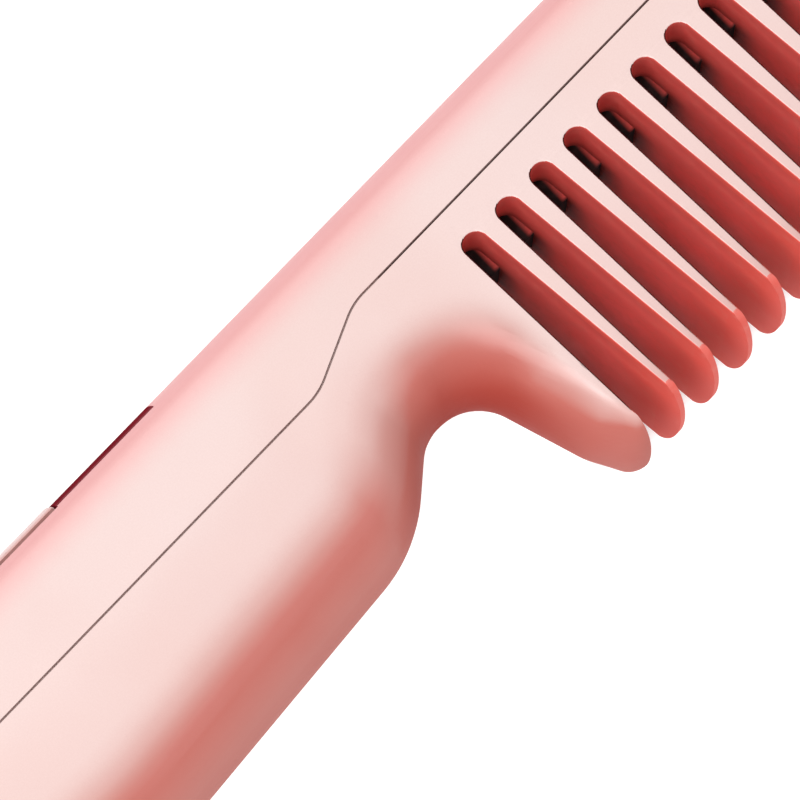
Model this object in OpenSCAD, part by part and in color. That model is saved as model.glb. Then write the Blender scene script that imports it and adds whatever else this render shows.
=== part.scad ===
// Cordless hot comb: two-part housing with a notch for the finger, a coated
// heating comb between plastic guard fingers, a battery handle and three keys.
// Axes: X runs along the comb towards its nose, Y towards the spine, Z through
// its thickness. The comb lies on its flat rear side. The origin is on that
// side, on the line where the two housing parts meet, at the notch.

/* [Housing] */
// Thickness of the whole comb
body_t = 20; // [19:0.5:24]
// Length of the handle behind the notch
tail_len = 105; // [103:1:125]
// Length of the nose in front of the last slot's middle
nose_len = 11.7; // [11.5:0.1:16]
// Height of the spine over the handle's parting line
spine_h = 15; // [14.5:0.5:18]
// Depth of the handle's belly under the parting line
belly_d = 22.7; // [21:0.1:26]
// Depth of the belly at its heel, behind the notch
heel_d = 19.5; // [19:0.1:20.5]
// Depth of the notch's arch under the parting line
arch_d = 10.7; // [10.2:0.1:11.2]
// Depth of the tooth tips under the parting line
tip_d = 31.8; // [30:0.1:36]
// How far the belly rounds inwards from the flat sides
belly_round = 9.2; // [8.4:0.1:9.6]
// How far the spine rounds down to the flat sides
spine_round = 4; // [3.6:0.1:4.1]
// Height by which the parting line is higher in the head
seam_step = 4.5; // [4.3:0.1:5]
// Width of the groove along the parting line
seam_gap = 0.3; // [0.2:0.05:0.4]
// Thickness of the housing's walls
wall = 2; // [1.7:0.1:2.2]
// Height of the lip that keys the two housing parts together
lip_h = 1.5; // [1:0.1:2]
// Clearance between parts that slide together when assembled
assembly_gap = 0.1; // [0.05:0.05:0.15]

/* [Teeth] */
// Distance from tooth to tooth
pitch = 5.9; // [5.7:0.05:5.95]
// Number of slots between the two guard teeth
slots = 14; // [10:1:14]
// Place of the first slot's middle
first_slot_x = 18.6; // [18.4:0.1:19]
// Width of a slot at its root
slot_w = 3.2; // [3:0.1:3.4]
// Height of the slots' round roots over the parting line
root_y = 0.5; // [0.2:0.1:0.8]
// Width of a tooth where its rounded tip begins
tooth_tip_w = 0.95; // [0.85:0.05:1.3]
// Height of the teeth's rounded tips
tip_round = 3.2; // [2.8:0.1:3.6]
// Thickness of the plastic fingers beside the heating comb
finger_t = 1.2; // [1:0.1:1.5]

/* [Heating] */
// Height of the heating comb's rail over the slots' roots
rail_h = 3.4; // [3:0.1:3.6]
// Length of the rail's rear ear behind the first slot's middle
ear_len = 8; // [7.6:0.1:8]
// Thickness of the black heater bar
bar_t = 5.6; // [5:0.1:6.2]
// How far the heater bar reaches below the slots' roots
bar_drop = 4.3; // [3.5:0.1:5]
// Height of the heater bar over the rail
bar_rise = 0.6; // [0.4:0.1:0.8]
// Length of one heating element
ptc_len = 18; // [14:0.5:20]
// Height of one heating element
ptc_h = 1.8; // [1.6:0.1:2]
// Width of the steel clamp over the heating elements
clamp_w = 10; // [9.6:0.1:10.4]
// Thickness of the steel clamp
clamp_t = 0.6; // [0.4:0.1:0.8]
// Width of the mica sheet
mica_w = 13; // [12:0.5:14]
// Thickness of the mica sheet
mica_t = 0.4; // [0.3:0.1:0.6]
// Radius of the thermal fuse
fuse_r = 1.25; // [1:0.05:1.3]
// Radius of the thermistor
thermistor_r = 0.9; // [0.7:0.05:1]

/* [Battery] */
// Length of the battery cell
cell_len = 44; // [38:1:44]
// Height of the battery cell
cell_h = 19; // [17:0.5:19.5]
// Thickness of the battery cell
cell_t = 11.4; // [10:0.2:11.8]
// Place of the battery cell's front end
cell_x = -16; // [-17:0.5:-16]
// Depth of the battery cell's underside under the parting line
cell_d = 14.6; // [14:0.1:14.8]
// Thickness of the battery's protection board
guard_board_t = 1; // [0.8:0.1:1.4]

/* [Keys and display] */
// Width of the display window and the keys across the spine
key_w = 15.6; // [14.8:0.2:15.8]
// Length of the display window
window_len = 16.6; // [15.4:0.2:17]
// Distance of the display window's front end from the handle's end
window_inset = 83.8; // [83.3:0.1:84.2]
// Thickness of the display window and the keys' caps at the crown
cap_t = 2.7; // [2.5:0.1:2.8]
// Length of the plus and minus keys
key_len = 11; // [10:0.2:11]
// Length of the power key
power_len = 12; // [10.6:0.2:12]
// Width of the webs between the keys
key_web = 1.6; // [1.2:0.1:1.6]
// Height of the keys over the spine
key_rise = 0.25; // [0.1:0.05:0.4]
// Gap around each key
key_gap = 0.3; // [0.2:0.05:0.3]
// How far a key's lips reach under the housing
key_lip = 0.4; // [0.3:0.05:0.5]
// How far a key travels
key_travel = 0.5; // [0.3:0.05:0.6]
// Radius of the keys' stems
stem_r = 1.5; // [1.2:0.1:1.8]
// Radial clearance of the stems in their guides
stem_fit = 0.06; // [0.03:0.01:0.09]
// Thickness of the frame that guides the keys
frame_t = 1.4; // [1:0.1:1.5]

/* [Boards] */
// Thickness of the circuit boards
pcb_t = 1.2; // [1:0.1:1.4]
// Width of the main board
pcb_w = 13; // [12:0.2:13.4]
// Depth of the main board's upper face under the spine
pcb_depth = 7.6; // [7.4:0.05:7.7]
// Length of the main board in front of the display window
pcb_lead = 8.9; // [8.5:0.1:9.3]
// Height of a push switch's body
switch_h = 1; // [0.8:0.1:1.1]
// Width of a push switch's body
switch_w = 5.2; // [4.4:0.2:6]
// Width of the charging socket
usb_w = 9; // [8.9:0.05:9.1]
// Height of the charging socket
usb_h = 3.2; // [3.1:0.05:3.3]
// Length of the charging socket
usb_len = 7.4; // [7:0.1:7.6]
// Depth of the charging socket's middle under the parting line
usb_d = 2.7; // [2.4:0.1:3]
// Radius of the wires
wire_r = 0.7; // [0.5:0.05:0.75]

/* [Screws] */
// Radius of the screws' shanks
screw_r = 1.1; // [0.9:0.05:1.2]
// Radius of the screws' heads
head_r = 2.1; // [1.9:0.1:2.3]
// Height of the screws' heads
head_h = 1.4; // [1.2:0.1:1.6]
// Radial clearance of a screw in its hole
screw_fit = 0.05; // [0.02:0.01:0.1]
// Thickness of the plastic around a screw
boss_wall = 2; // [1.6:0.1:2.1]
// Distance of the housing screw from the handle's end
screw_inset = 16; // [15.6:0.1:16.4]

/* [Hidden] */
$fn = 48;
eps = 0.01;
far = 300;
mid_z = body_t / 2;
tail_x = -tail_len;
tail_d = belly_d - 2.7;
belly_x = -56;
heel_x = -11.1;
neck_x = 9;
seam_x = [-7.3, 3.4];
seam_bend = 9;
floor_y = root_y + 0.5;
last_slot_x = first_slot_x + (slots - 1) * pitch;
nose_x = last_slot_x + nose_len;
tooth_end_y = -tip_d + tip_round + 0.4;
slot_lean = atan((pitch - tooth_tip_w - slot_w) / 2 / (tip_d - tip_round + root_y - slot_w / 2));

tongue_t = 1;
rail_x0 = first_slot_x - ear_len;
rail_x1 = nose_x - wall - tongue_t - 0.7;
rail_y = root_y + rail_h;
bar_x0 = first_slot_x - slot_w / 2 - 0.8;
bar_x1 = last_slot_x + slot_w / 2 + 0.8;
bar_y = rail_y + bar_rise;
ptc_y = bar_y + ptc_h;
clamp_x0 = bar_x0 + 1;
clamp_x1 = bar_x1 - 1;
clamp_y = ptc_y + clamp_t;
mica_y = clamp_y + mica_t;
ptc_count = 3;
ptc_x = [for (i = [0:ptc_count - 1])
    clamp_x0 + (clamp_x1 - clamp_x0) / ptc_count * (i + 0.5) - ptc_len / 2];
rib_t = 1.2;
rib_x = [for (i = [0:3]) clamp_x0 + (clamp_x1 - clamp_x0) * (0.08 + 0.28 * i) - rib_t / 2];
comb_screw_x = [rail_x0 + head_r + 0.5, rail_x1 - head_r - 0.5];
comb_bite = 7;
fuse_len = 9;
fuse_x = ptc_x[1] + 6;
thermistor_len = 4;
thermistor_x = ptc_x[0] + 10;

boss_x = tail_x + screw_inset;
boss_r = screw_r + boss_wall;
boss_y = -4;
window_x = tail_x + window_inset;
board_y = spine_h - pcb_depth;
board_low = board_y - pcb_t;
board_x0 = boss_x + boss_r + 1.9;
pcb_x = window_x + pcb_lead;
plunger_h = 0.4;
switch_top = board_y + switch_h + plunger_h;
frame_y = spine_h - spine_round;
cap_y = spine_h - cap_t;
plus_x = window_x - window_len - key_gap;
minus_x = plus_x - key_len - 2 * key_gap - key_web;
power_x = minus_x - key_len - 2 * key_gap - key_web;
key_spans = [[plus_x - key_len, plus_x], [minus_x - key_len, minus_x], [power_x - power_len, power_x]];
key_mid_x = [for (k = key_spans) (k[0] + k[1]) / 2];
frame_x0 = power_x - power_len - key_gap;
frame_x1 = window_x + 1;
key_lip_t = 0.7;
key_lip_w = 8;
display_w = key_w - 2.8;
display_inset = 0.8;
board_post_x = [board_x0 + 2.6, pcb_x - 3];
board_post_r = screw_r + 0.8;
board_bite = 3;

cell_rib_x = [cell_x - cell_len + 6, cell_x - 9];
pad_inset = 6;
pad_h = 8;
pad_low = 5;
lip_inset = 14;
coil_r = 3;
coil_h = 1.4;
coil_inset = 10;
// Chips on the main board: distance behind its front end, length, width and height.
chip_sizes = [[18, 6, 6, 1], [30, 5, 8, 1.2], [56, 4, 4, 1]];
lead_y = rail_y + wire_r + 0.8;

head_seat_y = -12;
screw_bite = 8;
usb_x = tail_x + 0.6;
charge_y = -usb_d - usb_h / 2 - pcb_t;
charge_x0 = tail_x + wall + 1;
charge_x1 = boss_x - boss_r - 0.6;
charge_w = 12.4;
charge_post_x = charge_x1 - head_r + 0.2;
charge_post_z = [mid_z - 4, mid_z + 4];
charge_post_r = screw_r + 0.8;
charge_bite = 5;
tongue_x = rail_x1 + 0.3;
tongue_w = 6;
tongue_y = seam_step + 4;
arc_steps = 6;
level_steps = 10;

function unit(v) = v / norm(v);
function flat(p) = [p.x, p.y];

// Points of the arc that rounds the corner at p between its two neighbours.
function corner_arc(before, p, after, n) =
    let (u = unit(flat(before) - flat(p)),
         w = unit(flat(after) - flat(p)),
         half = acos(u * w) / 2,
         centre = flat(p) + unit(u + w) * p.z / sin(half),
         start = flat(p) + u * p.z / tan(half) - centre,
         end = flat(p) + w * p.z / tan(half) - centre,
         a = atan2(start.y, start.x),
         turn = (atan2(end.y, end.x) - a + 540) % 360 - 180)
    [for (i = [0:n - 1]) centre + p.z * [cos(a + turn * i / (n - 1)), sin(a + turn * i / (n - 1))]];

function backwards(list) = [for (i = [len(list) - 1:-1:0]) list[i]];

// Closed outline of a long body. corners holds [x, y, radius] in the order
// tail top, tail bottom, belly corners, nose bottom, nose top.
function body_outline(corners, n) =
    let (m = len(corners),
         arcs = [for (i = [0:m - 1])
             corner_arc(corners[(i + m - 1) % m], corners[i], corners[(i + 1) % m], n)],
         belly = [for (i = [2:m - 3]) each arcs[i]],
         spine_end = arcs[m - 1][n - 1].x - 0.5,
         spine = [for (i = [0:len(belly) - 1])
             [min(belly[i].x, spine_end - 0.2 * (len(belly) - 1 - i)), corners[0].y]])
    concat(arcs[1], belly, arcs[m - 2], arcs[m - 1], backwards(spine), arcs[0]);

// Solid between the flat sides at z0 and z1 whose outline bulges from
// side_corners there to mid_corners half way, as a quarter of an ellipse.
module bulged_body(side_corners, mid_corners, z0, z1, n = arc_steps, levels = level_steps) {
    side = body_outline(side_corners, n);
    mid = body_outline(mid_corners, n);
    count = len(side);
    half = count / 2;
    points = [for (k = [0:levels]) for (i = [0:count - 1])
        let (p = side[i] + (mid[i] - side[i]) * sin(180 * k / levels))
        [p.x, p.y, z0 + (z1 - z0) * (1 - cos(180 * k / levels)) / 2]];
    top = levels * count;
    skin = [for (k = [0:levels - 1]) for (i = [0:count - 1])
        let (a = k * count + i, b = k * count + (i + 1) % count)
        each [[a, a + count, b + count], [a, b + count, b]]];
    cap = [for (i = [0:half - 2])
        each [[i, i + 1, count - i - 2], [i, count - i - 2, count - i - 1]]];
    faces = concat(cap, skin, [for (f = cap) [top + f[2], top + f[1], top + f[0]]]);
    polyhedron(points, faces);
}

// Corners of the skin's outline half way through the thickness: [x, y, radius].
mid_corners = [
    [tail_x, spine_h, 14],
    [tail_x, -tail_d, 16],
    [belly_x, -belly_d, 60],
    [heel_x, -heel_d, 20],
    [-0.4, -arch_d - 0.3, 7.1],
    [7.3, -arch_d - 0.8, 6.5],
    [11.1, -tip_d + 5.1, 6.5],
    [14.4, -tip_d, 3.3],
    [nose_x - 3.5, -tip_d, 3],
    [nose_x, -14, 30],
    [nose_x, spine_h, 12]];
// The same corners on the flat sides.
side_corners = [
    [tail_x + spine_round, spine_h - spine_round, 10],
    [tail_x + spine_round, -tail_d + belly_round, 10],
    [belly_x, -belly_d + belly_round, 60],
    [heel_x - 0.4, -heel_d + belly_round + 1, 8],
    [-2.8, -arch_d + belly_round - 0.5, 8],
    [12.2, -arch_d + belly_round - 1.1, 8],
    [15.3, -18, 30],
    [15.7, -tip_d + tip_round, 2],
    [nose_x - 5, -tip_d + tip_round, 1.5],
    [nose_x - 1.5, -14, 30],
    [nose_x - spine_round, spine_h - spine_round, 8]];

// Corners of the hollow inside the housing, one wall in from the skin.
hollow_mid = [
    [tail_x + wall, spine_h - wall, 12],
    [tail_x + wall, -tail_d + wall, 14],
    [belly_x, -belly_d + wall, 58],
    [heel_x - 1.2, -heel_d + wall, 18],
    [-1, -arch_d + wall + 0.3, 5],
    [neck_x, floor_y, 3],
    [nose_x - wall, floor_y, 1.5],
    [nose_x - wall, spine_h - wall, 10]];
hollow_side = [
    [tail_x + spine_round, spine_h - spine_round, 8],
    [tail_x + spine_round, -tail_d + belly_round, 8],
    [belly_x, -belly_d + belly_round, 58],
    [heel_x - 0.6, -heel_d + belly_round + 1.5, 6],
    [-4, -arch_d + belly_round + 0.8, 4],
    [neck_x + 0.5, floor_y, 2],
    [nose_x - spine_round, floor_y, 1],
    [nose_x - spine_round, spine_h - spine_round, 6]];

module skin() {
    bulged_body(side_corners, mid_corners, 0, body_t);
}

module hollow() {
    bulged_body(hollow_side, hollow_mid, wall, body_t - wall);
}

// Everything above the parting line, which steps up from handle to head.
module above_seam(shift) {
    rise = [for (p = concat(
        corner_arc([-far, 0], [seam_x[0], 0, seam_bend], [seam_x[1], seam_step], arc_steps),
        corner_arc([seam_x[0], 0], [seam_x[1], seam_step, seam_bend], [far, seam_step], arc_steps)))
        [p.x, p.y + shift]];
    polygon(concat([[-far, shift]], rise, [[far, seam_step + shift], [far, far], [-far, far]]));
}

// Box between two corners given as [x, y, z].
module block(low, high) {
    translate(low) cube(high - low);
}

// Round bar along Y, from its lower to its upper end.
module post(x, z, r, low, high) {
    translate([x, low, z]) rotate([-90, 0, 0]) cylinder(r = r, h = high - low);
}

// Straight run of wire between two points.
module wire(a, b) {
    v = b - a;
    translate(a)
        rotate([0, acos(v.z / norm(v)), atan2(v.y, v.x)])
            cylinder(r = wire_r, h = norm(v));
}

// Wire along a route, with round bends.
module wire_run(route) {
    for (i = [0:len(route) - 2]) wire(route[i], route[i + 1]);
    for (i = [1:len(route) - 2]) translate(route[i]) sphere(r = wire_r);
}

// Outline of one slot between two teeth: round root, sides that part downwards.
module slot_outline() {
    side_y = root_y - slot_w / 2 * (1 - sin(slot_lean));
    side_x = slot_w / 2 * cos(slot_lean);
    low_x = side_x + (side_y + tip_d + 5) * tan(slot_lean);
    translate([0, root_y - slot_w / 2]) circle(r = slot_w / 2);
    polygon([[-side_x, side_y], [-low_x, -tip_d - 5], [low_x, -tip_d - 5], [side_x, side_y]]);
}

module slot_cuts() {
    for (i = [0:slots - 1])
        translate([first_slot_x + i * pitch, 0, -1])
            linear_extrude(body_t + 2) slot_outline();
}

// Lip that stands on the lower part's side walls and keys into the upper part.
module lips(grow) {
    for (z = [wall / 2 + assembly_gap - grow, body_t - wall])
        translate([0, 0, z])
            linear_extrude(wall / 2 - assembly_gap + grow)
                intersection() {
                    difference() {
                        above_seam(-lip_h);
                        above_seam(lip_h + grow);
                    }
                    translate([tail_x + lip_inset - grow, -far])
                        square([neck_x - 1 - tail_x - lip_inset + 2 * grow, 2 * far]);
                }
}

module top_shell() color("pink") {
    difference() {
        union() {
            difference() {
                intersection() {
                    skin();
                    translate([0, 0, -1]) linear_extrude(body_t + 2) above_seam(seam_gap / 2);
                }
                difference() {
                    hollow();
                    spine_supports();
                    key_stops();
                }
                lips(assembly_gap);
                key_openings();
            }
            post(boss_x, mid_z, boss_r, boss_y, seam_step);
            block([tongue_x, floor_y + 1, mid_z - tongue_w / 2],
                  [tongue_x + tongue_t, tongue_y, mid_z + tongue_w / 2]);
        }
        post(boss_x, mid_z, screw_r + screw_fit, boss_y - eps, boss_y + screw_bite + 1);
        for (x = board_post_x)
            post(x, mid_z, screw_r + screw_fit, board_y - eps, board_y + board_bite);
    }
}

// Screw boss, posts of the main board, ribs over the heater and the root of the nose's tongue.
module spine_supports() {
    post(boss_x, mid_z, boss_r, 0, spine_h);
    for (x = board_post_x) post(x, mid_z, board_post_r, board_y, spine_h);
    for (x = rib_x)
        block([x, mica_y, mid_z - mica_w / 2], [x + rib_t, spine_h, mid_z + mica_w / 2]);
    block([tongue_x, tongue_y - 2, mid_z - tongue_w / 2], [nose_x, tongue_y, mid_z + tongue_w / 2]);
}

module bottom_shell() color("mistyrose") {
    difference() {
        union() {
            difference() {
                intersection() {
                    skin();
                    translate([0, 0, -1]) linear_extrude(body_t + 2) below_seam();
                }
                difference() {
                    hollow();
                    handle_supports();
                }
            }
            lips(0);
        }
        slot_cuts();
        comb_pocket();
        bar_pocket();
        charge_opening();
        for (x = comb_screw_x) post(x, mid_z, screw_r + screw_fit, root_y - comb_bite - 1, root_y + 1);
        post(boss_x, mid_z, screw_r + screw_fit, -far / 4, boss_y + 1);
        post(boss_x, mid_z, head_r + 2 * screw_fit, -far / 4, head_seat_y);
        for (z = charge_post_z)
            post(charge_post_x, z, screw_r + screw_fit, charge_y - charge_bite, charge_y + 1);
    }
}

module below_seam() {
    difference() {
        translate([-far, -far]) square(2 * far);
        above_seam(-seam_gap / 2);
    }
}

// Screw boss, posts of the charging board and ribs under the battery cell.
module handle_supports() {
    post(boss_x, mid_z, boss_r, -belly_d, boss_y);
    for (z = charge_post_z) post(charge_post_x, z, charge_post_r, -belly_d, charge_y);
    for (x = cell_rib_x)
        block([x, -belly_d, mid_z - cell_t / 2], [x + rib_t, -cell_d, mid_z + cell_t / 2]);
}

// Space for the heating comb: its rail above the slots and its teeth between the fingers.
module comb_pocket() {
    block([rail_x0, root_y, finger_t], [rail_x1, seam_step + 1, body_t - finger_t]);
    block([first_slot_x, tooth_end_y, finger_t], [last_slot_x, root_y + eps, body_t - finger_t]);
}

module bar_pocket() {
    block([bar_x0, root_y - bar_drop, mid_z - bar_t / 2], [bar_x1, root_y + eps, mid_z + bar_t / 2]);
}

module heated_comb() color("firebrick") {
    difference() {
        union() {
            block([rail_x0, root_y, finger_t], [rail_x1, rail_y, body_t - finger_t]);
            block([first_slot_x, tooth_end_y, finger_t], [last_slot_x, root_y + eps, body_t - finger_t]);
        }
        slot_cuts();
        block([bar_x0, root_y - bar_drop, mid_z - bar_t / 2], [bar_x1, rail_y + 1, mid_z + bar_t / 2]);
        for (x = comb_screw_x) post(x, mid_z, screw_r + screw_fit, root_y - 1, rail_y + 1);
    }
}

module heater_bar() color("black") {
    block([bar_x0, root_y - bar_drop, mid_z - bar_t / 2], [bar_x1, bar_y, mid_z + bar_t / 2]);
}

module ptc_heaters() color("goldenrod") {
    for (x = ptc_x)
        block([x, bar_y, mid_z - bar_t / 2], [x + ptc_len, ptc_y, mid_z + bar_t / 2]);
}

// Steel channel that presses the heating elements onto the bar.
module heater_clamp() color("silver") {
    difference() {
        block([clamp_x0, rail_y, mid_z - clamp_w / 2], [clamp_x1, clamp_y, mid_z + clamp_w / 2]);
        block([clamp_x0 - 1, rail_y - 1, mid_z - clamp_w / 2 + clamp_t],
              [clamp_x1 + 1, ptc_y, mid_z + clamp_w / 2 - clamp_t]);
    }
}

module mica_sheet() color("tan") {
    block([clamp_x0 - 1, clamp_y, mid_z - mica_w / 2], [clamp_x1 + 1, mica_y, mid_z + mica_w / 2]);
}

// Screw along Y: its head rests at seat and its shank points down (or up).
module screw(x, z, seat, bite, up = false) {
    turn = up ? 1 : -1;
    translate([x, seat, z]) rotate([turn * -90, 0, 0]) {
        cylinder(r = screw_r, h = bite);
        translate([0, 0, -head_h]) difference() {
            cylinder(r = head_r, h = head_h);
            translate([0, 0, -eps]) cylinder(r = 0.9, h = 0.8, $fn = 6);
        }
    }
}

module comb_screws() color("silver") {
    for (x = comb_screw_x) screw(x, mid_z, rail_y, rail_h + comb_bite);
}

module thermistor() color("black") {
    translate([thermistor_x, rail_y + thermistor_r, body_t - wall - 0.4 - thermistor_r])
        rotate([0, 90, 0]) cylinder(r = thermistor_r, h = thermistor_len);
}

module thermal_fuse() color("ivory") {
    translate([fuse_x, rail_y + fuse_r, wall + 0.3 + fuse_r])
        rotate([0, 90, 0]) cylinder(r = fuse_r, h = fuse_len);
}

module heater_leads() color("white") {
    for (side = [-1, 1]) {
        z = mid_z + side * (bar_t / 2 + wire_r);
        start = pcb_x - 2;
        wire_run([[start, board_low, z], [start, lead_y, z], [ptc_x[0] + 2, lead_y, z]]);
    }
}

module battery_cell() color("royalblue") {
    block([cell_x - cell_len, -cell_d, mid_z - cell_t / 2], [cell_x, cell_h - cell_d, mid_z + cell_t / 2]);
}

// Foam between the cell and the flat sides.
module battery_pads() color("dimgray") {
    for (z = [[wall, mid_z - cell_t / 2], [mid_z + cell_t / 2, body_t - wall]])
        block([cell_x - cell_len + pad_inset, pad_low - cell_d, z[0]],
              [cell_x - pad_inset, pad_low + pad_h - cell_d, z[1]]);
}

module protection_board() color("darkgreen") {
    block([cell_x - cell_len - guard_board_t, -cell_d + 2, mid_z - cell_t / 2 + 1],
          [cell_x - cell_len, cell_h - cell_d - 2, mid_z + cell_t / 2 - 1]);
}

module battery_leads() color("red") {
    start = cell_x - cell_len - guard_board_t;
    for (side = [-1, 1]) {
        z = mid_z + side * 3;
        wire_run([[start, 0, z], [start - 3, 0, z], [start - 3, board_low, z]]);
    }
}

module main_board() color("green") {
    difference() {
        block([board_x0, board_low, mid_z - pcb_w / 2], [pcb_x, board_y, mid_z + pcb_w / 2]);
        for (x = board_post_x) post(x, mid_z, screw_r + screw_fit, board_low - 1, board_y + 1);
    }
}

module board_chips() color("black") {
    for (c = chip_sizes)
        block([pcb_x - c[0] - c[1], board_low - c[3], mid_z - c[2] / 2],
              [pcb_x - c[0], board_low, mid_z + c[2] / 2]);
}

module boost_coil() color("dimgray") {
    post(pcb_x - coil_inset, mid_z, coil_r, board_low - coil_h, board_low);
}

module tact_switches() color("silver") {
    for (x = key_mid_x) {
        block([x - switch_w / 2, board_y, mid_z - switch_w / 2],
              [x + switch_w / 2, board_y + switch_h, mid_z + switch_w / 2]);
        post(x, mid_z, 1, board_y + switch_h, switch_top);
    }
}

module board_screws() color("silver") {
    for (x = board_post_x) screw(x, mid_z, board_low, pcb_t + board_bite - 1, true);
    for (z = charge_post_z) screw(charge_post_x, z, charge_y + pcb_t, pcb_t + charge_bite - 1);
}

module display_module() color("gray") {
    block([window_x - window_len + display_inset, board_y, mid_z - display_w / 2],
          [window_x - display_inset, cap_y - assembly_gap, mid_z + display_w / 2]);
}

// Section of the spine's crown, raised by rise, between a floor and the sides of a strip.
module crown_section(rise, low, width) {
    step = width / 16;
    crown = [for (i = [0:16])
        let (z = -width / 2 + i * step)
        [spine_h - spine_round + rise + spine_round * sqrt(1 - pow(z / mid_z, 2)), z]];
    polygon(concat([[low, -width / 2]], crown, [[low, width / 2]]));
}

// Strip of the spine from x0 to x1 with the crown's section.
module crown_strip(x0, x1, rise, low, width) {
    translate([x0, 0, mid_z]) rotate([90, 0, 90])
        linear_extrude(x1 - x0) crown_section(rise, low, width);
}

module display_window() color("maroon") {
    crown_strip(window_x - window_len, window_x, 0, cap_y, key_w);
}

module key_openings() {
    block([window_x - window_len, cap_y - 3, mid_z - key_w / 2], [window_x, far, mid_z + key_w / 2]);
    for (k = key_spans)
        block([k[0] - key_gap, cap_y - 3, mid_z - key_w / 2 - key_gap],
              [k[1] + key_gap, far, mid_z + key_w / 2 + key_gap]);
}

// Flat undersides at the webs, where the lips of the released keys rest.
module key_stops() {
    for (k = key_spans)
        block([k[0] - key_gap - key_web, cap_y, mid_z - key_lip_w / 2],
              [k[0] - key_gap, spine_h, mid_z + key_lip_w / 2]);
}

// Frame across the housing that guides the keys and holds the window.
module key_frame() color("dimgray") {
    difference() {
        block([frame_x0, frame_y - frame_t, wall], [frame_x1, frame_y, body_t - wall]);
        for (x = key_mid_x) post(x, mid_z, stem_r + stem_fit, frame_y - frame_t - 1, frame_y + 1);
        display_hole(assembly_gap);
    }
}

module display_hole(gap) {
    block([window_x - window_len + display_inset - gap, frame_y - frame_t - 1, mid_z - display_w / 2 - gap],
          [window_x - display_inset + gap, frame_y + 1, mid_z + display_w / 2 + gap]);
}

// Cap that follows the spine's crown, its lips, and the stem that reaches to its switch.
module key(i) {
    reach = key_gap + key_lip;
    crown_strip(key_spans[i][0], key_spans[i][1], key_rise, cap_y, key_w);
    block([key_spans[i][0] - reach, cap_y - key_lip_t, mid_z - key_lip_w / 2],
          [key_spans[i][1] + reach, cap_y, mid_z + key_lip_w / 2]);
    post(key_mid_x[i], mid_z, stem_r, switch_top + key_travel + 0.05, cap_y);
}

module plus_key() color("lightpink") {
    key(0);
}

module minus_key() color("lightpink") {
    key(1);
}

module power_key() color("lightpink") {
    key(2);
}

module charge_opening() {
    translate([tail_x - 1, -usb_d, mid_z]) rotate([90, 0, 90]) linear_extrude(wall + spine_round + 2)
        usb_outline(assembly_gap);
}

// Rounded outline of the charging socket, wide along the thickness of the comb.
module usb_outline(grow) {
    square([usb_h + 2 * grow, usb_w - usb_h], center = true);
    for (side = [-1, 1])
        translate([0, side * (usb_w - usb_h) / 2]) circle(r = usb_h / 2 + grow);
}

module charge_board() color("green") {
    difference() {
        block([charge_x0, charge_y, mid_z - charge_w / 2],
              [charge_x1, charge_y + pcb_t, mid_z + charge_w / 2]);
        for (z = charge_post_z)
            post(charge_post_x, z, screw_r + screw_fit, charge_y - 1, charge_y + pcb_t + 1);
    }
}

module charge_socket() color("silver") {
    difference() {
        translate([usb_x, -usb_d, mid_z]) rotate([90, 0, 90]) linear_extrude(usb_len) usb_outline(0);
        translate([usb_x - 1, -usb_d, mid_z]) rotate([90, 0, 90]) linear_extrude(usb_len) usb_outline(-0.35);
    }
    block([usb_x + 0.8, -usb_d - 0.35, mid_z - 3.2], [usb_x + usb_len, -usb_d + 0.35, mid_z + 3.2]);
}

// Wires from the charging board around the screw boss to the main board.
module charge_leads() color("red") {
    start = charge_x1 - 1;
    end = board_x0 + 1;
    for (side = [-1, 1]) {
        inner = mid_z + side * 1.2;
        outer = mid_z + side * (boss_r + wire_r + 1.2);
        wire_run([[start, charge_y + pcb_t, inner], [start, 1, inner], [start, 1, outer],
                  [end, 1, outer], [end, board_low, outer]]);
    }
}

module housing_screw() color("silver") {
    screw(boss_x, mid_z, head_seat_y, boss_y - head_seat_y + screw_bite, true);
}

top_shell();
bottom_shell();
heated_comb();
heater_bar();
ptc_heaters();
heater_clamp();
mica_sheet();
comb_screws();
thermistor();
thermal_fuse();
heater_leads();
battery_cell();
battery_pads();
protection_board();
battery_leads();
main_board();
board_chips();
boost_coil();
tact_switches();
board_screws();
display_module();
display_window();
key_frame();
plus_key();
minus_key();
power_key();
charge_board();
charge_socket();
charge_leads();
housing_screw();
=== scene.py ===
"""Looks of a cordless hot comb: pearl housing, coated heating comb, keys and display window."""
import logging
import math
from dataclasses import dataclass, field
from enum import Enum

import bmesh
import bpy
import numpy as np
from mathutils import Matrix, Vector


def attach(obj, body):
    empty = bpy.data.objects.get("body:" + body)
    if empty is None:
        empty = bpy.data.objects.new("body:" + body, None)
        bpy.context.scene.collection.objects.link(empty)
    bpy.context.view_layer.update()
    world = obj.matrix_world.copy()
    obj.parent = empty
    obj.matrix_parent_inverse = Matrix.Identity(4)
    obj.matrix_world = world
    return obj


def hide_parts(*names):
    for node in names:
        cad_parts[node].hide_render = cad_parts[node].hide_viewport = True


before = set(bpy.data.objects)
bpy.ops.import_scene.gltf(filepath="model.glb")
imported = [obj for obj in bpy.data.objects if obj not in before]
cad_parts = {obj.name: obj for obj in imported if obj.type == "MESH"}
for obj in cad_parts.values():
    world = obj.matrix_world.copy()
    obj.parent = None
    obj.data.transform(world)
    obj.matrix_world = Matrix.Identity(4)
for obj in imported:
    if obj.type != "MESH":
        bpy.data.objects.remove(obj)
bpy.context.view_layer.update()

MM = 0.001  # metres in a millimetre
FAR = 300.0  # beyond every part, in millimetres
OVERLAP = 0.01  # how far solids that join run into each other
PAST = 1.0  # how far a cutter runs past what it cuts
SPINE_STEP = 0.1  # least distance between points of a body's spine
SPINE_CLEAR = 0.5  # how far the spine's last point stays behind the nose's arc
POST_SIDES = 48
CROWN_STEPS = 32
LOG = logging.getLogger("hot_comb")

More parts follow.
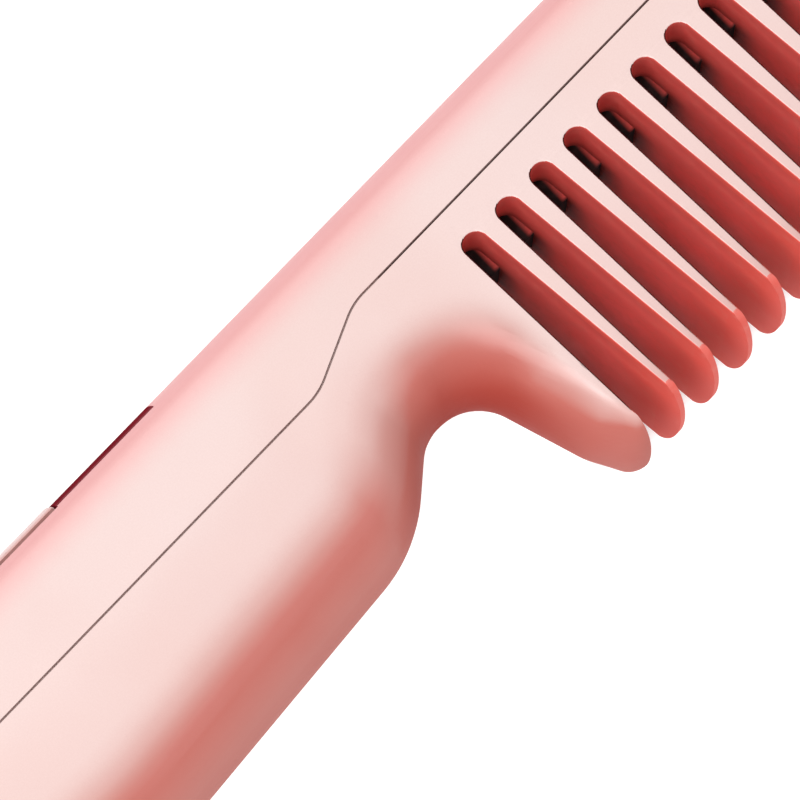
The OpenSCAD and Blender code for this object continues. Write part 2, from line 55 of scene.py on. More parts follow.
Point = tuple[float, float]
Corner = tuple[float, float, float]
Place = tuple[float, float, float]
Colour = tuple[float, float, float]
Curve = tuple[tuple[float, ...], tuple[float, ...]]
Faces = list[tuple[int, ...]]
Item = bpy.types.Object
Material = bpy.types.Material
Socket = bpy.types.NodeSocket
Value = float | Socket


class Cut(Enum):
    """How a second solid changes a first one."""

    LESS = "DIFFERENCE"
    PLUS = "UNION"
    BOTH = "INTERSECT"


class Sign(Enum):
    """Generic sign that is cut into a key."""

    PLUS = "plus"
    MINUS = "minus"
    POWER = "power"


@dataclass(frozen=True)
class CombSizes:
    """Driving dimensions of the comb, in millimetres."""

    body_t: float = 20.0
    tail_x: float = -105.0
    spine_h: float = 15.0
    belly_x: float = -56.0
    belly_d: float = 22.7
    tail_rise: float = 2.7
    heel_d: float = 19.5
    arch_d: float = 10.7
    tip_d: float = 31.8
    belly_round: float = 9.2
    spine_round: float = 4.0
    seam_step: float = 4.5
    seam_gap: float = 0.3
    wall: float = 2.0
    lip_h: float = 1.5
    assembly_gap: float = 0.1
    pitch: float = 5.9
    slots: int = 14
    first_slot_x: float = 18.6
    nose_len: float = 11.7
    slot_w: float = 3.2
    root_y: float = 0.5
    floor_t: float = 0.5
    tooth_tip_w: float = 0.95
    tip_round: float = 3.2
    finger_t: float = 1.2
    key_w: float = 15.6
    window_inset: float = 83.8
    window_len: float = 16.6
    cap_t: float = 2.7
    key_len: float = 11.0
    power_len: float = 12.0
    key_web: float = 1.6
    key_rise: float = 0.25
    key_gap: float = 0.3
    key_lip: float = 0.4
    screw_r: float = 1.1
    screw_fit: float = 0.05

    @property
    def mid_z(self) -> float:
        """Height of the middle plane."""
        return self.body_t / 2

    @property
    def tail_d(self) -> float:
        """Depth of the handle's tail."""
        return self.belly_d - self.tail_rise

    @property
    def last_slot_x(self) -> float:
        """Middle of the last slot."""
        return self.first_slot_x + (self.slots - 1) * self.pitch

    @property
    def nose_x(self) -> float:
        """Front end of the comb."""
        return self.last_slot_x + self.nose_len

    @property
    def floor_y(self) -> float:
        """Floor of the hollow in the head."""
        return self.root_y + self.floor_t

    @property
    def slot_lean(self) -> float:
        """Angle by which a slot's sides part, in radians."""
        spread = (self.pitch - self.tooth_tip_w - self.slot_w) / 2
        return math.atan(spread / (self.tip_d - self.tip_round + self.root_y - self.slot_w / 2))

    @property
    def window_x(self) -> float:
        """Front end of the display window."""
        return self.tail_x + self.window_inset

    @property
    def cap_y(self) -> float:
        """Height of the undersides of the window and the keys' caps."""
        return self.spine_h - self.cap_t

    @property
    def drill_r(self) -> float:
        """Radius of a screw's hole."""
        return self.screw_r + self.screw_fit

    def key_spans(self) -> list[Point]:
        """Rear and front ends of the plus, minus and power keys.

        Returns:
            One (rear, front) pair per key, from the window towards the tail.
        """
        spans = []
        front = self.window_x - self.window_len - self.key_gap
        for length in (self.key_len, self.key_len, self.power_len):
            spans.append((front - length, front))
            front -= length + 2 * self.key_gap + self.key_web
        return spans


# ---------------------------------------------------------------- solids


@dataclass
class Solid:
    """A closed mesh in millimetres, before it becomes a Blender object."""

    points: list[Place]
    faces: Faces

    def joined(self, other: "Solid") -> "Solid":
        """One mesh of this solid and one that doesn't touch it."""
        moved = [tuple(i + len(self.points) for i in face) for face in other.faces]
        return Solid(self.points + other.points, self.faces + moved)


def corner_arc(before: Corner, corner: Corner, after: Corner, steps: int) -> list[Point]:
    """Round the corner between two neighbours.

    Args:
        before: the neighbour that comes first, as x, y and radius.
        corner: the corner itself.
        after: the neighbour that comes next.
        steps: how many points the arc gets.

    Returns:
        The arc's points in order.
    """
    at = np.array(corner[:2])
    u = np.array(before[:2]) - at
    w = np.array(after[:2]) - at
    u, w = u / np.linalg.norm(u), w / np.linalg.norm(w)
    half = math.acos(float(u @ w)) / 2
    radius = corner[2]
    middle = (u + w) / np.linalg.norm(u + w)
    centre = at + middle * radius / math.sin(half)
    start = at + u * radius / math.tan(half) - centre
    end = at + w * radius / math.tan(half) - centre
    first = math.atan2(start[1], start[0])
    turn = (math.atan2(end[1], end[0]) - first + 3 * math.pi) % (2 * math.pi) - math.pi
    angles = [first + turn * i / (steps - 1) for i in range(steps)]
    return [(centre[0] + radius * math.cos(a), centre[1] + radius * math.sin(a)) for a in angles]


def body_outline(corners: list[Corner], steps: int) -> list[Point]:
    """Closed outline of a long body, with a point on the spine above each belly point.

    Args:
        corners: tail top, tail bottom, belly corners, nose bottom and nose top.
        steps: how many points each rounded corner gets.

    Returns:
        The outline's points, once around.
    """
    count = len(corners)
    arcs = [corner_arc(corners[i - 1], corners[i], corners[(i + 1) % count], steps)
            for i in range(count)]
    belly = [p for arc in arcs[2:count - 2] for p in arc]
    spine_end = arcs[count - 1][-1][0] - SPINE_CLEAR
    last = len(belly) - 1
    spine = [(min(p[0], spine_end - SPINE_STEP * (last - i)), corners[0][1])
             for i, p in enumerate(belly)]
    return arcs[1] + belly + arcs[count - 2] + arcs[count - 1] + spine[::-1] + arcs[0]


def side_faces(count: int, levels: int) -> Faces:
    """Quads between neighbouring rings of the same number of points, ring by ring."""
    pairs = [(k + i, k + (i + 1) % count)
             for k in range(0, levels * count, count) for i in range(count)]
    return [(p, q, q + count, p + count) for p, q in pairs]


def bulged_body(side: list[Corner], mid: list[Corner], low: float, high: float,
                steps: int, levels: int) -> Solid:
    """Solid between two flat sides whose outline bulges out half way between them.

    Args:
        side: corners of the outline on the flat sides.
        mid: corners of the outline half way.
        low: height of the lower flat side.
        high: height of the upper flat side.
        steps: points per rounded corner.
        levels: rings from side to side.

    Returns:
        The solid.
    """
    a, b = np.array(body_outline(side, steps)), np.array(body_outline(mid, steps))
    count = len(a)
    points: list[Place] = []
    for k in range(levels + 1):
        turn = math.pi * k / levels
        ring = a + (b - a) * math.sin(turn)
        z = low + (high - low) * (1 - math.cos(turn)) / 2
        points += [(float(x), float(y), z) for x, y in ring]
    faces = side_faces(count, levels)
    top = levels * count
    for i in range(count // 2 - 1):
        quad = (i, count - 1 - i, count - 2 - i, i + 1)
        faces.append(quad)
        faces.append(tuple(top + j for j in reversed(quad)))
    return Solid(points, faces)


def stack(rings: list[list[Point]], heights: list[float]) -> Solid:
    """Solid through rings that have the same number of points and run anticlockwise.

    Args:
        rings: one outline per height.
        heights: where each outline lies.

    Returns:
        The solid.
    """
    count, top = len(rings[0]), (len(rings) - 1) * len(rings[0])
    points = [(x, y, z) for ring, z in zip(rings, heights) for x, y in ring]
    faces: Faces = [tuple(reversed(range(count)))]
    faces += side_faces(count, len(rings) - 1)
    faces.append(tuple(range(top, top + count)))
    return Solid(points, faces)


def prism(outline: list[Point], low: float, high: float) -> Solid:
    """Upright solid on an outline that runs anticlockwise."""
    return stack([outline, outline], [low, high])


def block(low: Place, high: Place) -> Solid:
    """Box between its lowest and its highest corner."""
    outline = [(low[0], low[1]), (high[0], low[1]), (high[0], high[1]), (low[0], high[1])]
    return prism(outline, low[2], high[2])


def slabs(spans: list[Point], y: Point, z: Point) -> list[Solid]:
    """Boxes with the same lower and upper ends in Y and Z, one per span along X."""
    return [block((rear, y[0], z[0]), (front, y[1], z[1])) for rear, front in spans]


def column(outline: list[Point], low: float, high: float) -> Solid:
    """Solid along Y on an anticlockwise outline of x and z, between two ends."""
    flat = prism(outline, low, high)
    return Solid([(x, y, z) for x, z, y in flat.points], [face[::-1] for face in flat.faces])


def posts(places: list[Point], r: float, ends: Point) -> list[Solid]:
    """Round bars along Y between two ends, one per place in X and Z."""
    turns = [2 * math.pi * i / POST_SIDES for i in range(POST_SIDES)]
    return [column([(x + r * math.cos(a), z + r * math.sin(a)) for a in turns], *ends)
            for x, z in places]


def crown_strip(size: CombSizes, rear: float, front: float, rise: float) -> Solid:
    """Strip of the spine as wide as a key, with the spine's crown on top.

    Args:
        size: the comb's sizes.
        rear: its rear end.
        front: its front end.
        rise: how far it stands over the spine.

    Returns:
        The solid.
    """
    low, width = size.cap_y, size.key_w
    base = size.spine_h - size.spine_round + rise
    section: list[Point] = [(-width / 2, low), (width / 2, low)]
    for i in range(CROWN_STEPS, -1, -1):
        z = -width / 2 + width * i / CROWN_STEPS
        section.append((z, base + size.spine_round * math.sqrt(1 - (z / size.mid_z) ** 2)))
    flat = prism(section, rear, front)
    return Solid([(x, y, size.mid_z - z) for z, y, x in flat.points], flat.faces)


# ---------------------------------------------------------------- workshop


def in_scene(name: str, data: bpy.types.ID) -> Item:
    """Put an object into the scene.

    Args:
        name: its name.
        data: the mesh, light or camera that it shows.

    Returns:
        The object.
    """
    made = bpy.data.objects.new(name, data)
    bpy.context.scene.collection.objects.link(made)
    return made


class Workshop:
    """Turns solids into Blender objects and cuts them with each other."""

    ROUND_FROM = math.radians(40)  # sharper edges are rounded
    SHARP_FROM = math.radians(32)  # sharper edges aren't shaded smooth
    SPLITS = 9  # most times that an edge is halved

    @staticmethod
    def bring_in(name: str, solid: Solid) -> Item:
        """Make an object of a solid, still in millimetres.

        Args:
            name: the object's name.
            solid: its points and faces.

        Returns:
            The object.
        """
        mesh = bpy.data.meshes.new(name)
        mesh.from_pydata(solid.points, [], solid.faces)
        return in_scene(name, mesh)

    @staticmethod
    def settle(item: Item) -> None:
        """Apply every modifier of an object to its mesh.

        Args:
            item: the object.
        """
        bpy.context.view_layer.update()
        seen = item.evaluated_get(bpy.context.evaluated_depsgraph_get())
        mesh = bpy.data.meshes.new_from_object(seen)
        old = item.data
        item.modifiers.clear()
        item.data = mesh
        bpy.data.meshes.remove(old)

    @classmethod
    def change(cls, item: Item, how: Cut, *tools: Solid | Item) -> Item:
        """Add, take away or keep the common part of solids, one after the other.

        Args:
            item: the object that changes.
            how: what each tool does to it.
            tools: solids, or objects that are used up.

        Returns:
            The changed object.
        """
        for tool in tools:
            cutter = cls.bring_in("cutter", tool) if isinstance(tool, Solid) else tool
            step = item.modifiers.new("cut", "BOOLEAN")
            step.object = cutter
            step.operation = how.value
            step.solver = "MANIFOLD"
            cls.settle(item)
            mesh = cutter.data
            bpy.data.objects.remove(cutter)
            bpy.data.meshes.remove(mesh)
        return item

    @classmethod
    def round_edges(cls, item: Item, width: float, segments: int) -> None:
        """Round the sharp edges of an object that is still in millimetres.

        Args:
            item: the object.
            width: how far the rounding reaches from the edge.
            segments: faces across the rounding.
        """
        step = item.modifiers.new("round", "BEVEL")
        step.width = width
        step.segments = segments
        step.limit_method = "ANGLE"
        step.angle_limit = cls.ROUND_FROM
        cls.settle(item)

    @classmethod
    def complete(cls, item: Item, finish: Material) -> None:
        """Scale an object from millimetres to metres, shade it smooth and dress it.

        Args:
            item: the object.
            finish: its material.
        """
        item.data.transform(Matrix.Scale(MM, 4))
        item.data.shade_smooth()
        item.data.set_sharp_from_angle(angle=cls.SHARP_FROM)
        step = item.modifiers.new("normals", "WEIGHTED_NORMAL")
        step.keep_sharp = True
        cls.settle(item)
        cls.dress(item, finish)

    @staticmethod
    def dress(item: Item, finish: Material) -> None:
        """Give an object one material in place of those that it has."""
        item.data.materials.clear()
        item.data.materials.append(finish)

    @staticmethod
    def write(item: Item, name: str, domain: str, values: np.ndarray) -> None:
        """Store one number per vertex (POINT) or face corner (CORNER) for the finish to read."""
        store = item.data.attributes.new(name, "FLOAT", domain)
        store.data.foreach_set("value", values.astype(np.float32))

    @classmethod
    def split_long_edges(cls, item: Item, longest: float, fine: float, fine_to: float) -> None:
        """Divide an object's faces until no edge is longer than a limit.

        Args:
            item: the object, in millimetres.
            longest: the limit.
            fine: a shorter limit for the rear part.
            fine_to: where the rear part ends.
        """
        work = bmesh.new()
        work.from_mesh(item.data)
        bmesh.ops.triangulate(work, faces=work.faces[:])
        for _ in range(cls.SPLITS):
            long = [edge for edge in work.edges
                    if edge.calc_length() > (fine if edge.verts[0].co.x < fine_to else longest)]
            if not long:
                break
            bmesh.ops.subdivide_edges(work, edges=long, cuts=1)
            many = [face for face in work.faces if len(face.verts) > 3]
            bmesh.ops.triangulate(work, faces=many)
        work.to_mesh(item.data)
        work.free()


# ---------------------------------------------------------------- finishes


class Grain(Enum):
    """Pattern that a surface carries in its relief."""

    PEEL = "orange peel of a sprayed coat"
    BRUSHED = "fine lines along the part"
    CELLS = "open cells of foam"
    BRAID = "slight rings along a wire"
    WEAVE = "glass cloth of a laminate"
    CAST = "sparks of a moulding tool"


@dataclass(frozen=True)
class Patches:
    """Soft noise that is sharpened to patches."""

    scale: float  # features per metre
    detail: float  # how much finer noise is added
    low: float  # the noise where a patch starts
    high: float  # the noise where it is full


STRETCH: dict[Grain, Place] = {
    Grain.BRUSHED: (0.04, 1.0, 1.0),
    Grain.BRAID: (1.0, 0.3, 0.3),
    Grain.WEAVE: (1.0, 0.4, 1.0),
}
WORN_EDGE: Point = (0.52, 0.60)  # pointiness where an edge starts to wear, and where it is bare
SCUFFS = Patches(700.0, 5.0, 0.45, 0.7)
SMUDGES = Patches(160.0, 6.0, 0.3, 0.7)
WORN_ROUGH = 0.25  # roughness that wear adds
DULL_ROUGH = 0.18  # roughness that a lost gloss adds
DULL_SHEEN = 0.3  # share of the sheen that stays where the gloss is lost


class NodeBoard:
    """Shorthand for the nodes of one material."""

    def __init__(self, name: str) -> None:
        """Start an empty material with one shader and an output.

        Args:
            name: the material's name.
        """
        self.material = bpy.data.materials.new(name)
        self.material.use_nodes = True
        self.tree = self.material.node_tree
        self.tree.nodes.clear()
        self.shader = self.node("BsdfPrincipled", {})
        self.node("OutputMaterial", {"Surface": self.shader.outputs[0]})
        self.place = self.node("TexCoord", {}).outputs["Object"]

    def node(self, kind: str, inputs: dict[str | int, Value | tuple]) -> bpy.types.Node:
        """Add a node and feed its inputs.

        Args:
            kind: the node's type.
            inputs: what each named or numbered input gets.

        Returns:
            The node.
        """
        made = self.tree.nodes.new(f"ShaderNode{kind}")
        for name, value in inputs.items():
            self.feed(made.inputs[name], value)
        return made

    def feed(self, socket: Socket, value: Value | tuple) -> None:
        """Link a socket to another one, or set it to a constant.

        Args:
            socket: the input.
            value: an output to link, a number, a vector or a colour.
        """
        if isinstance(value, bpy.types.NodeSocket):
            self.tree.links.new(value, socket)
        elif isinstance(value, tuple) and socket.type == "RGBA":
            socket.default_value = (*value, 1.0)
        else:
            socket.default_value = value

    def set(self, name: str, value: Value | Colour) -> None:
        """Feed one input of the shader."""
        self.feed(self.shader.inputs[name], value)

    def noise(self, scale: float, detail: float = 3.0, place: Socket | None = None) -> Socket:
        """Soft noise from 0 to 1, with so many features per metre and so much finer detail."""
        inputs = {"Vector": place or self.place, "Scale": scale, "Detail": detail}
        return self.node("TexNoise", inputs).outputs["Fac"]

    def cells(self, scale: float, place: Socket) -> Socket:
        """Distance to the nearest of scattered points, so many per metre."""
        return self.node("TexVoronoi", {"Vector": place, "Scale": scale}).outputs["Distance"]

    def stretched(self, factors: Place) -> Socket:
        """The object's coordinates, scaled per axis."""
        return self.node("Mapping", {"Vector": self.place, "Scale": factors}).outputs["Vector"]

    def axis(self, name: str) -> Socket:
        """One of the object's coordinates."""
        return self.node("SeparateXYZ", {"Vector": self.place}).outputs[name]

    def attribute(self, name: str) -> Socket:
        """A number that the mesh carries."""
        made = self.node("Attribute", {})
        made.attribute_name = name
        return made.outputs["Fac"]

    def span(self, value: Value, low: float, high: float, start: float = 0.0, end: float = 1.0,
             smooth: bool = False) -> Socket:
        """Map a range of a value to another range, held at both ends.

        Args:
            value: the value.
            low: where the first range starts.
            high: where it ends.
            start: result at its start.
            end: result at its end.
            smooth: whether the result eases in and out.

        Returns:
            The mapped value.
        """
        made = self.node("MapRange", {"Value": value, "From Min": low, "From Max": high,
                                      "To Min": start, "To Max": end})
        if smooth:
            made.interpolation_type = "SMOOTHSTEP"
        return made.outputs["Result"]

    def patches(self, kind: Patches, start: float = 0.0, end: float = 1.0) -> Socket:
        """Soft patches from a first value to a second one."""
        return self.span(self.noise(kind.scale, kind.detail), kind.low, kind.high, start, end)

    def maths(self, how: str, first: Value, second: Value = 0.0, held: bool = True) -> Socket:
        """Arithmetic on one or two values.

        Args:
            how: name of the operation, such as ADD or MULTIPLY.
            first: the first value.
            second: the second value.
            held: whether the result is held between 0 and 1.

        Returns:
            The result.
        """
        made = self.node("Math", {0: first, 1: second})
        made.operation = how
        made.use_clamp = held
        return made.outputs[0]

    def times(self, first: Value, second: Value) -> Socket:
        """Product of two values, held between 0 and 1."""
        return self.maths("MULTIPLY", first, second)

    def mix(self, factor: Value, first: Colour | Socket, second: Colour | Socket) -> Socket:
        """Blend of two colours.

        Args:
            factor: share of the second colour.
            first: the first colour.
            second: the second colour.

        Returns:
            The blend's colour.
        """
        made = self.node("Mix", {})
        made.data_type = "RGBA"
        for index, value in ((0, factor), (6, first), (7, second)):
            self.feed(made.inputs[index], value)
        return made.outputs[2]

    def relief(self, height: Socket, depth: float) -> None:
        """Bump the shader's normal by a pattern of a depth in millimetres."""
        self.set("Normal", self.node("Bump", {"Distance": depth * MM, "Strength": 1.0,
                                              "Height": height}).outputs["Normal"])


@dataclass(frozen=True)
class Finish:
    """Surface of one material: tones, gloss, wear and relief."""

    name: str
    tone: Colour
    patch: Colour
    worn: Colour
    rough: Point = (0.4, 0.55)
    metal: float = 0.0
    coat: float = 0.0
    grain: Grain = Grain.CAST
    grain_scale: float = 2500.0
    depth: float = 0.02
    wear: float = 0.35
    shine: float = 0.5  # specular level
    sheen: Point | None = None  # the level face on and at the rim, in place of shine
    sheen_from: Point = (0.5, 0.9)  # turn of the surface where it starts and ends to change
    clouds: Patches = Patches(90.0, 4.0, 0.32, 0.68)

    def tint(self, board: NodeBoard) -> Socket:
        """Colour before wear: two tones in soft patches."""
        return board.mix(board.patches(self.clouds), self.tone, self.patch)

    def pattern(self, board: NodeBoard) -> Socket:
        """Height pattern of the relief.

        Args:
            board: the material's nodes.

        Returns:
            The height, about 0 to 1.
        """
        place = board.stretched(STRETCH[self.grain]) if self.grain in STRETCH else board.place
        if self.grain in (Grain.CELLS, Grain.WEAVE):
            return board.cells(self.grain_scale, place)
        return board.noise(self.grain_scale, 1.0 if self.grain is Grain.BRAID else 2.0, place)

    def dull(self, board: NodeBoard) -> Value:
        """Where the surface loses its gloss, 0 to 1."""
        return 0.0

    def build(self) -> Material:
        """Make the material.

        Returns:
            The material, with colour, roughness, wear and relief from nodes.
        """
        board = NodeBoard(self.name)
        edges = board.span(board.node("NewGeometry", {}).outputs["Pointiness"], *WORN_EDGE)
        worn = board.times(board.times(edges, board.patches(SCUFFS)), self.wear)
        board.set("Base Color", board.mix(worn, self.tint(board), self.worn))
        dull = self.dull(board)
        smudges = board.patches(SMUDGES, *self.rough)
        rough = board.maths("ADD", smudges, board.times(worn, WORN_ROUGH))
        board.set("Roughness", board.maths("ADD", rough, board.times(dull, DULL_ROUGH)))
        board.set("Metallic", self.metal)
        board.set("Coat Weight", self.coat)
        board.set("Specular IOR Level", self.shine)
        if self.sheen is not None:
            facing = board.node("LayerWeight", {}).outputs["Facing"]
            level = board.span(facing, *self.sheen_from, *self.sheen)
            left = board.span(dull, 0.0, 1.0, 1.0, DULL_SHEEN)
            board.set("Specular IOR Level", board.times(level, left))
        board.relief(self.pattern(board), self.depth)
        return board.material


@dataclass(frozen=True)
class PearlLacquer(Finish):
    """Sprayed pearl coat with painted shade: it deepens to rose towards the belly, the spine and
    the tips, where the shells turn away from the light.
    """

    name: str = "pearl_lacquer"
    tone: Colour = (0.65, 0.505, 0.482)
    patch: Colour = (0.652, 0.483, 0.452)
    worn: Colour = (0.7, 0.54, 0.5)
    rough: Point = (0.3, 0.38)
    grain: Grain = Grain.PEEL
    grain_scale: float = 1500.0
    depth: float = 0.012
    wear: float = 0.08
    sheen: Point | None = (0.4, 0.08)
    clouds: Patches = Patches(38.0, 2.0, 0.3, 0.7)
    flakes: Patches = Patches(5200.0, 1.0, 0.35, 0.65)
    flake: Colour = (1.0, 0.9, 0.88)
    flake_share: float = 0.05
    drift: Patches = Patches(55.0, 3.0, 0.5, 0.7)
    drift_depth: float = 0.03
    # painted shade: the spray's half shade and rose, where the shells turn away from the light
    half_shade: Colour = (0.487, 0.231, 0.205)
    half_shade_at: float = 0.7
    rose: Colour = (0.425, 0.118, 0.096)
    # painted shade on the spine's rounded edge
    crown_shade: Colour = (0.7, 0.285, 0.285)
    # painted deep shade at the belly's and the notch's edges
    deep: Colour = (0.3, 0.022, 0.01)
    red: Colour = (0.56, 0.082, 0.068)
    end: Colour = (0.63, 0.09, 0.068)
    end_y: Point = (-0.02, -0.01)
    # painted shade line along each slot's rear edge
    edge: Colour = (0.06, 0.006, 0.006)

    def tint(self, board: NodeBoard) -> Socket:
        """Pale tone with the rose spray over it, which is painted shade.

        Args:
            board: the material's nodes.

        Returns:
            The colour.
        """
        shine = board.times(board.patches(self.flakes), self.flake_share)
        tinted = board.mix(shine, super().tint(board), self.flake)
        uneven = board.patches(self.drift, 0.0, self.drift_depth)
        # painted shade: the rose spray darkens the shells where they turn away from the light
        spray = board.maths("ADD", board.attribute("rose_spray_shade"), uneven)
        tinted = board.mix(board.span(spray, 0.0, self.half_shade_at), tinted, self.half_shade)
        tinted = board.mix(board.span(spray, self.half_shade_at, 1.0), tinted, self.rose)
        # painted shade on the spine's rounded edge
        tinted = board.mix(board.attribute("crown"), tinted, self.crown_shade)
        # painted deep shade at the outline's edges
        tinted = board.mix(board.attribute("deep_shade"), tinted, self.deep)
        flank = board.attribute("flank")
        red = board.mix(board.span(board.axis("Y"), *self.end_y, 1.0, 0.0), self.red, self.end)
        tinted = board.mix(flank, tinted, red)
        # painted shade line along each slot's rear edge
        return board.mix(board.span(flank, 1.0, 2.0), tinted, self.edge)

    def dull(self, board: NodeBoard) -> Value:
        """The slots' flanks and the edges with painted deep shade are as matt as the comb's coat.
        """
        return board.maths("MAXIMUM", board.attribute("flank"), board.attribute("matt"))


@dataclass(frozen=True)
class KeyLacquer(Finish):
    """Pink lacquer of the keys, with painted shade on their sides, ends and underside, where the
    gaps round each key are dark.
    """

    name: str = "key_lacquer"
    tone: Colour = (0.6, 0.35, 0.33)
    patch: Colour = (0.58, 0.32, 0.3)
    worn: Colour = (0.72, 0.5, 0.47)
    rough: Point = (0.28, 0.36)
    coat: float = 0.15
    grain: Grain = Grain.PEEL
    grain_scale: float = 1500.0
    depth: float = 0.01
    wear: float = 0.3
    # painted shade of the gap round the key
    side: Colour = (0.27, 0.115, 0.1)

    def tint(self, board: NodeBoard) -> Socket:
        """Lacquer on the crown and painted shade on the sides."""
        return board.mix(board.attribute("flank"), super().tint(board), self.side)


@dataclass(frozen=True)
class CeramicCoat(Finish):
    """Matt red coat of the heating comb, with painted light half way up, brighter towards the tips,
    and painted shade beside the bar.
    """

    name: str = "ceramic_coat"
    tone: Colour = (0.53, 0.078, 0.066)
    patch: Colour = (0.48, 0.064, 0.056)
    worn: Colour = (0.62, 0.17, 0.14)
    rough: Point = (0.42, 0.55)
    grain: Grain = Grain.PEEL
    grain_scale: float = 3200.0
    depth: float = 0.012
    wear: float = 0.3
    shine: float = 0.06
    # painted light: a brighter red half way up, where the deep slots would be darker
    painted_mid_light: Colour = (0.9, 0.15, 0.13)
    middle: float = 0.01
    tip: Colour = (0.63, 0.09, 0.068)
    tip_y: Point = (-0.0275, -0.019)
    # painted shade beside the bar, deepest near the middle plane
    bar_shade: Colour = (0.012, 0.004, 0.004)
    bar_shade_y: Point = (-0.0083, -0.0033)
    bar_shade_z: Point = (0.0015, 0.005)
    bar_shade_share: float = 0.85

    def tint(self, board: NodeBoard) -> Socket:
        """Two reds with painted light towards the middle plane and painted shade beside the bar.

        Args:
            board: the material's nodes.

        Returns:
            The colour.
        """
        y, z = board.axis("Y"), board.axis("Z")
        off = board.maths("ABSOLUTE", board.maths("SUBTRACT", z, self.middle, False), held=False)
        # painted light towards the middle plane
        inner = board.span(off, 0.0, self.middle, 1.0, 0.0, True)
        coat = board.mix(inner, super().tint(board), self.painted_mid_light)
        coat = board.mix(board.span(y, *self.tip_y, 1.0, 0.0, True), coat, self.tip)
        # painted shade beside the bar
        near = board.span(y, *self.bar_shade_y, 0.0, self.bar_shade_share, True)
        deep = board.span(off, *self.bar_shade_z, 1.0, 0.0, True)
        return board.mix(board.times(near, deep), coat, self.bar_shade)


@dataclass(frozen=True)
class BarWithShadeWedge(Finish):
    """Black bar with red over the front part of each slot, so that the black wedge left by the
    slot's rear wall is painted shade.
    """

    name: str = "anodised_bar"
    tone: Colour = (0.006, 0.003, 0.003)
    patch: Colour = (0.014, 0.007, 0.006)
    worn: Colour = (0.08, 0.05, 0.05)
    rough: Point = (0.5, 0.62)
    grain: Grain = Grain.BRUSHED
    grain_scale: float = 4000.0
    depth: float = 0.01
    shine: float = 0.12
    spray: Colour = (0.6, 0.08, 0.068)
    spray_share: float = 0.9
    first: float = 0.017
    pitch: float = 0.0059
    front: Point = (0.425, 0.56)
    lean: Point = (-0.03, 0.02)
    lean_y: Point = (-0.0035, 0.0)
    low_y: Point = (-0.0038, -0.0034)

    def tint(self, board: NodeBoard) -> Socket:
        """Black, reddened in the front part of each slot and more so lower down, so that a black
        wedge of painted shade stays by the rear wall.

        Args:
            board: the material's nodes.

        Returns:
            The colour.
        """
        x, y = board.axis("X"), board.axis("Y")
        along = board.maths("SUBTRACT", x, self.first, False)
        across = board.maths("FRACT", board.maths("DIVIDE", along, self.pitch, False), held=False)
        straight = board.maths("SUBTRACT", across, board.span(y, *self.lean_y, *self.lean), False)
        # the black that the red leaves is painted shade
        red = board.span(straight, *self.front, 0.0, self.spray_share, True)
        above = board.span(y, *self.low_y)
        return board.mix(board.times(red, above), super().tint(board), self.spray)


# ---------------------------------------------------------------- the comb


def ramp(value: np.ndarray, start: float, end: float) -> np.ndarray:
    """Rise from 0 at the start to 1 at the end, held at both."""
    return np.clip((value - start) / (end - start), 0, 1)


def distance_to(line: np.ndarray, at: np.ndarray) -> np.ndarray:
    """Distance of points to a line through knots.

    Args:
        line: the knots, one row of x and y each.
        at: the points, one row each.

    Returns:
        One distance per point.
    """
    away = np.full(len(at), FAR)
    for a, b in zip(line[:-1], line[1:]):
        along = np.clip(((at - a) @ (b - a)) / max(float((b - a) @ (b - a)), 1e-9), 0, 1)
        away = np.minimum(away, np.hypot(*(at - a - along[:, None] * (b - a)).T))
    return away


